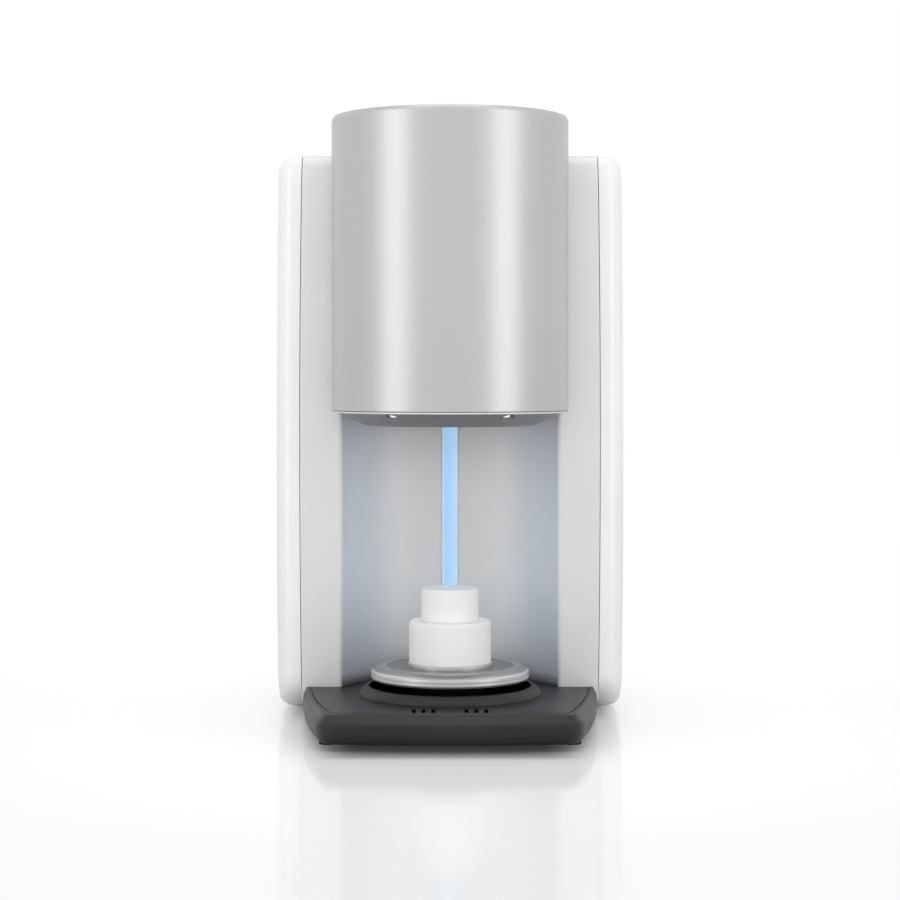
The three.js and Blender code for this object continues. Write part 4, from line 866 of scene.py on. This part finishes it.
# %% Base top, groove and inset plate
WELL_R = 72.7 * MM
WELL_DEPTH = 9.9 * MM
GROOVE_HALF = 0.5 * MM
EDGE_DROP = 0.15 * MM
OVERLAP = 0.02 * MM
BAND_Z = BASE_TOP - 0.05 * MM
groove_outer, groove_inner = plate_radius + GROOVE_HALF, plate_radius - GROOVE_HALF
groove_floor = BASE_TOP - PLATE_DEPTH
top_outer = inside_base(6.5 * MM * bevel_share(base_outline))
band = polar_sheet("base_top_band", [
    (np.maximum(top_outer, groove_outer), BAND_Z), (groove_outer + 0.5 * MM, BAND_Z),
    (groove_outer + EDGE_DROP, BASE_TOP - EDGE_DROP), (groove_outer, BASE_TOP - 0.5 * MM), (groove_outer, groove_floor),
    (groove_inner - 2 * MM, groove_floor),
])
dress(band, BLACK, "housing", ["base_tray"])
plate = polar_sheet("inset_plate", [
    (groove_inner, groove_floor + OVERLAP), (groove_inner, BASE_TOP - 0.5 * MM),
    (groove_inner - EDGE_DROP, BASE_TOP - EDGE_DROP), (groove_inner - 0.5 * MM, BASE_TOP),
    (groove_inner * 0.5 + WELL_R * 0.5, BASE_TOP), (WELL_R + 0.6 * MM, BASE_TOP), (WELL_R, BASE_TOP - 0.4 * MM),
    (WELL_R, groove_floor + OVERLAP),
], solid=True)
face_out(plate)

# %% Vent slots in the plate
VENT_CUT = 5 * MM
VENT_SPACING, VENT_LENGTH, VENT_WIDTH, VENT_REACH, VENT_GROUP_X = mm(8, 22, 3.2, 109, 21.5)


def slot_plug(x, front, length, width):
    """An upright plug with a slot's rounded outline: two half circles of the slot's width joined by its sides."""
    turn = np.linspace(0, math.pi, 9)
    ring = np.concatenate([
        np.stack([x + width / 2 * np.cos(turn), front + length - width / 2 + width / 2 * np.sin(turn)], -1),
        np.stack([x - width / 2 * np.cos(turn), front + width / 2 - width / 2 * np.sin(turn)], -1),
    ])
    count = len(ring)
    ends = [np.column_stack([ring, np.full(count, BASE_TOP + rise)]) for rise in (-VENT_CUT, VENT_CUT)]
    faces = grid_faces(2, count, close_columns=True).tolist()
    faces += [list(range(count))[::-1], [count + n for n in range(count)]]
    return face_out(mesh_object("slot_plug", np.concatenate(ends), faces))


for side in (-1, 1):
    for place in (-1, 0, 1):
        vent_x = side * VENT_GROUP_X + place * VENT_SPACING
        cut_away(plate, slot_plug(vent_x, AXIS_Y - VENT_REACH, VENT_LENGTH, VENT_WIDTH))
plate.data.set_sharp_from_angle(angle=math.radians(35))
dress(plate, BLACK, "housing", ["base_inset"])
print(f"six vent slots of {VENT_LENGTH / MM:.0f} by {VENT_WIDTH / MM:.1f} mm")

# %% Well and hollow underside
TRAY_WALL = 3 * MM
TRAY_ROOF = BASE_TOP - PLATE_DEPTH - TRAY_WALL
WELL_FLOOR = BASE_TOP - WELL_DEPTH
DISH_UNDER = WELL_FLOOR - TRAY_WALL
DISH_OUTER = WELL_R + TRAY_WALL
# The well floor is painted darker as shade.
well = turned("well_floor", filleted([(0, WELL_FLOOR), (WELL_R, WELL_FLOOR), (WELL_R, BASE_TOP - 0.3 * MM)], mm(2)))
dress(well, WELL_SHADE_AND_ARM_BLACK, "housing", ["base_tray"])
foot_radius = inside_base(7.8 * MM * bevel_share(base_outline))
hollow_radius = inside_base(9 * MM)
underside = polar_sheet("base_underside", [
    (0, DISH_UNDER), (DISH_OUTER * 0.5, DISH_UNDER), (DISH_OUTER, DISH_UNDER), (DISH_OUTER, TRAY_ROOF),
    (hollow_radius, TRAY_ROOF), (hollow_radius, BASE_BOTTOM), (foot_radius, BASE_BOTTOM),
])
dress(underside, BLACK, "housing", ["base_tray"])
for foot in ("front_left", "front_right", "rear_left", "rear_right"):
    foot_low, foot_high = corners(f"foot_{foot}")
    boss_r = (foot_high[0] - foot_low[0]) / 2 + TRAY_WALL
    boss = turned(f"boss_{foot}", filleted([(0, BASE_BOTTOM), (boss_r, BASE_BOTTOM), (boss_r, TRAY_ROOF)], mm(0.5)),
                  ((foot_low[0] + foot_high[0]) / 2, (foot_low[1] + foot_high[1]) / 2), 48)
    dress(boss, BLACK, "housing", ["base_tray"])
print(f"well {WELL_DEPTH / MM:.1f} mm deep, hollow {(TRAY_ROOF - BASE_BOTTOM) / MM:.1f} mm high")

# %% [markdown]
# ## Lip ring, table and crucible
# Round pieces on the head's axis. The ring is open at the rear, where the lift arm passes, so it is turned
# through less than a full turn and its ends are closed. The table has a rim edge painted bright as a highlight, a fine
# groove round its side and a shoulder that falls from a shallow dish painted darker as shade.

# %% Lip ring
LIP_TOP = float(corners("lip_ring")[1][2])
LIP_INNER, LIP_OUTER = 69.5 * MM, 78.2 * MM
gap = math.asin(SLOT_HALF / (WELL_R + 4 * MM))
ring = turned("lip_ring_smooth", loop_profile(
    [(LIP_INNER, BASE_TOP), (LIP_INNER, LIP_TOP), (LIP_INNER + 3 * MM, LIP_TOP),
     (LIP_OUTER - 1.2 * MM, LIP_TOP - 4.0 * MM), (LIP_OUTER, BASE_TOP)],
    mm(0.2, 0.8, 2.6, 2.4, 0.3), 7),
    turns=240, start=math.pi / 2 + gap, sweep=2 * math.pi - 2 * gap)
dress(even_shading(ring), BLACK, "housing", ["lip_ring"])
print(f"lip ring {(LIP_TOP - BASE_TOP) / MM:.1f} mm high, open over {math.degrees(2 * gap):.0f} degrees")

# %% Firing table
TABLE_LOW, TABLE_HIGH = corners("firing_table")
TABLE_R, TABLE_BOTTOM, TABLE_TOP = float(TABLE_HIGH[0]), float(TABLE_LOW[2]), float(TABLE_HIGH[2])
EDGE_Z = TABLE_BOTTOM + 7.2 * MM
GROOVE_Z = TABLE_BOTTOM + 4.2 * MM
GROOVE_RISE = 0.35 * MM
DISH_Z = TABLE_TOP - 0.8 * MM
table = turned("firing_table_smooth", filleted(
    [(0, TABLE_BOTTOM), (TABLE_R - 1.6 * MM, TABLE_BOTTOM), (TABLE_R, TABLE_BOTTOM + 1.5 * MM),
     (TABLE_R, GROOVE_Z - GROOVE_RISE), (TABLE_R - 0.5 * MM, GROOVE_Z), (TABLE_R, GROOVE_Z + GROOVE_RISE),
     (TABLE_R, EDGE_Z), (TABLE_R - 1.3 * MM, EDGE_Z + 0.7 * MM), (62.5 * MM, TABLE_TOP - 0.5 * MM),
     (56.2 * MM, TABLE_TOP), (55.2 * MM, TABLE_TOP), (54.4 * MM, DISH_Z), (0, DISH_Z)],
    mm(0.6, 0.6, 0.25, 0.2, 0.25, 1.2, 0.9, 5, 1.6, 0.4, 0.4, 0.3), 6), turns=256)
dress(even_shading(table), TABLE, "lift", ["firing_table"])
print(f"table {2 * TABLE_R / MM:.0f} mm across")


# %% Seat disc, plug and cover
def span(node):
    """A round CAD node's bottom, top and radius."""
    low, high = corners(node)
    return float(low[2]), float(high[2]), float(high[0])


SPIGOT_R, PLUG_HEIGHT = 20 * MM, 36 * MM
COVER_WALL, COVER_ROOF = 4 * MM, 5 * MM
low, top, radius = span("plug_seat")
seat = turned("plug_seat_smooth", filleted(
    [(0, low), (radius, low), (radius, top - 0.7 * MM), (radius - 0.7 * MM, top), (0, top)], mm(0.1, 0.4, 0.4)))
dress(even_shading(seat), SEAT, "lift", ["plug_seat"])
low, top, radius = span("insulation_plug")
ledge = low + PLUG_HEIGHT
plug = turned("insulation_plug_smooth", filleted(
    [(0, low), (radius, low), (radius, ledge), (SPIGOT_R, ledge), (SPIGOT_R, top), (0, top)],
    mm(0.5, 3.4, 0.2, 0.4), 9))
dress(even_shading(plug), CERAMIC, "lift", ["insulation_plug"])
low, top, radius = span("crucible_cover")
bore = radius - COVER_WALL
cover = turned("crucible_cover_smooth", filleted(
    [(0, top - COVER_ROOF), (bore, top - COVER_ROOF), (bore, low), (radius, low), (radius, top), (0, top)],
    mm(0.6, 0.3, 0.5, 1.9), 9))
dress(even_shading(cover), CERAMIC, "cover", ["crucible_cover"])
print(f"cover {2 * radius / MM:.0f} mm across, {(top - low) / MM:.0f} mm high")

# %% [markdown]
# ## Pieces that keep their CAD form
# Feet, lift, sheet metal and electronics have the right form already. Their meshes are loose triangles, so a
# Weld modifier joins them first, then on some of them a narrow Bevel softens the edges, and smooth shading is split
# where faces meet at a real angle.

# %% Finishes of carried-over pieces
KEPT = [
    (RUBBER, ["foot_front_left", "foot_front_right", "foot_rear_left", "foot_rear_right"]),
    (PANEL, ["top_cover", "rear_panel"]),
    (SATIN, ["head_cap"]),
    (GLASS, ["display_glass"]),
    (CIRCUIT, ["display_board", "light_board", "control_board"]),
    (ZINC, ["chassis", "electronics_shelf", "head_deck", "guide_rail_left", "guide_rail_right", "lift_backplate",
            "network_port", "power_supply"]),
    (MACHINED, ["shield_can", "pyrometer", "lift_carriage", "screw_nut", "carriage_block_left",
                "carriage_block_right", "screw_bearing", "lead_screw", "screw_coupling", "light_channel",
                "inverter_heatsink"]),
    (CERAMIC, ["mouth_insulation", "insulation_sleeve", "insulation_lid", "firing_tray"]),
    (WELL_SHADE_AND_ARM_BLACK, ["lift_arm"]),
    (CARBIDE, ["susceptor_tube"]),
    (COPPER, ["induction_coil"]),
    (BLUE_LIGHT, ["light_diffuser"]),
    (PLASTIC, ["lift_motor", "fan_frame", "fan_rotor", "power_inlet", "fuse_drawer", "mains_rocker",
               "capacitor_bank"]),
]
BEVELS = {"top_cover": 0.4, "display_glass": 0.5, "lift_motor": 0.8, "mains_rocker": 0.5,
          "fuse_drawer": 0.4, "power_inlet": 0.3, "lift_arm": 0.5, "fan_frame": 0.4, "head_cap": 0.3}
BEVEL_FROM, SPLIT_FROM = math.radians(40), math.radians(32)
for material, names in KEPT:
    for name in names:
        node = NODES[name]
        node.data.materials.clear()
        node.data.materials.append(material)
        node.data.polygons.foreach_set("use_smooth", np.ones(len(node.data.polygons), bool))
        node.modifiers.new("weld", "WELD").merge_threshold = 1e-5
        if name in BEVELS:
            soften = node.modifiers.new("soften", "BEVEL")
            soften.width = BEVELS[name] * MM
            soften.segments = 2
            soften.limit_method = "ANGLE"
            soften.angle_limit = BEVEL_FROM
        node.modifiers.new("split", "EDGE_SPLIT").split_angle = SPLIT_FROM
print(f"{sum(len(names) for _, names in KEPT)} CAD pieces refinished")

# %% [markdown]
# ## Floor, lights and background
# A white sweep under soft studio light. The floor is slightly glossy, so it mirrors the base faintly. It gets a
# little extra white for camera rays only, which keeps the ground white without putting more light on the object. This
# extra white is strongest close to the object: painted light that lifts the object's soft shadow there.
# Its tone is darker in a small patch under the nose, where a contact shadow is deeper than soft lamps alone cast.

# %% Floor
FLOOR_HALF = 6.0
FLOOR_TONE, CONTACT_TONE = 0.82, 0.42
NEAR_WHITE, FAR_WHITE, BACK_WHITE, CONTACT_LOSS = 0.15, 0.072, 0.09, 0.12
NOSE_Y, NOSE_HALF, AROUND, BACK_Y = (-0.215, -0.188), (0.075, 0.12), (0.25, 0.65), (0.0, 0.45)
floor_mesh = bpy.data.meshes.new("studio_floor")
floor_mesh.from_pydata([(x * FLOOR_HALF, y * FLOOR_HALF, 0) for x, y in ((-1, -1), (1, -1), (1, 1), (-1, 1))],
                       [], [(0, 1, 2, 3)])
floor = in_scene("studio_floor", floor_mesh)
floor_look = bpy.data.materials.new("studio_floor")
floor_look.use_nodes = True
ground = floor_look.node_tree
floor_shader = ground.nodes["Principled BSDF"]
floor_shader.inputs["Roughness"].default_value = 0.10
floor_shader.inputs["Specular IOR Level"].default_value = 0.3
floor_shader.inputs["Emission Color"].default_value = (1, 1, 1, 1)


def step(value, reach, start, end):
    """A smooth step from one strength to another while a value crosses its reach."""
    ramp = ground.nodes.new("ShaderNodeMapRange")
    ramp.interpolation_type = "SMOOTHSTEP"
    for label, amount in (("From Min", reach[0]), ("From Max", reach[1]), ("To Min", start), ("To Max", end)):
        ramp.inputs[label].default_value = amount
    ground.links.new(value, ramp.inputs["Value"])
    return ramp.outputs["Result"]


spot = object_place(ground)
under_nose = step(spot["Y"], NOSE_Y, 0.0, 1.0)
near_middle = step(from_middle(ground, spot), NOSE_HALF, 1.0, 0.0)
contact = maths(ground, "MULTIPLY", under_nose, near_middle)
tone = maths(ground, "MULTIPLY_ADD", contact, CONTACT_TONE - FLOOR_TONE, FLOOR_TONE)
# Stronger white near the object: painted light over its soft shadow on the floor.
shadow_lifting_white = step(from_axis(ground, spot, 0.0), AROUND, NEAR_WHITE, FAR_WHITE)
near_object = maths(ground, "MULTIPLY_ADD", contact, -CONTACT_LOSS, shadow_lifting_white)
white = maths(ground, "ADD", near_object, step(spot["Y"], BACK_Y, 0.0, BACK_WHITE))
seen_by_camera = ground.nodes.new("ShaderNodeLightPath").outputs["Is Camera Ray"]
ground.links.new(tone, floor_shader.inputs["Base Color"])
ground.links.new(maths(ground, "MULTIPLY", seen_by_camera, white), floor_shader.inputs["Emission Strength"])
floor.data.materials.append(floor_look)
print(f"floor {2 * FLOOR_HALF:.0f} m wide")

# %% World and lamps
AMBIENT = 0.67
world = bpy.data.worlds.new("studio")
bpy.context.scene.world = world
world.use_nodes = True
sky = world.node_tree
background = sky.nodes["Background"]
background.inputs["Color"].default_value = (1, 1, 1, 1)
rays = sky.nodes.new("ShaderNodeLightPath").outputs
mirrored = maths(sky, "MAXIMUM", rays["Is Glossy Ray"], rays["Is Transmission Ray"])
full_white = maths(sky, "MAXIMUM", rays["Is Camera Ray"], mirrored)
sky.links.new(maths(sky, "MULTIPLY_ADD", full_white, 1 - AMBIENT, AMBIENT), background.inputs["Strength"])


def softbox(name, place, aim, size, power, colour=(1, 1, 1)):
    """A rectangular area lamp that points from a place towards an aim."""
    data = bpy.data.lights.new(name, "AREA")
    data.shape = "RECTANGLE"
    data.size, data.size_y = size
    data.energy = power
    data.color = colour
    lamp = in_scene(name, data)
    lamp.location = place
    direction = np.array(aim, float) - np.array(place, float)
    lamp.rotation_euler = Vector(direction).to_track_quat("-Z", "Y").to_euler()
    return lamp


MIDDLE = (0, AXIS_Y, 0.28)
for name, x in (("left_strip", -1.5), ("right_strip", 1.5)):
    softbox(name, (x, AXIS_Y - 1.13, 0.5), MIDDLE, (0.85, 1.7), 6.4)
softbox("top_box", (0, AXIS_Y - 0.4, 1.9), MIDDLE, (1.6, 1.2), 8)
front_fill = softbox("front_fill", (0, AXIS_Y - 2.5, 0.62), (0, AXIS_Y, 0.1), (2.4, 1.1), 15)
front_fill.visible_glossy = False
niche_glow = softbox("niche_glow", (0, AXIS_Y + 0.110, 0.15), (0, AXIS_Y, 0.15), (0.02, 0.16), 0.22,
                     (0.55, 0.78, 1.0))
niche_glow.visible_camera = False
niche_glow.visible_glossy = False
bpy.context.scene.view_settings.view_transform = "Standard"
print(f"{len(bpy.data.lights)} lamps")
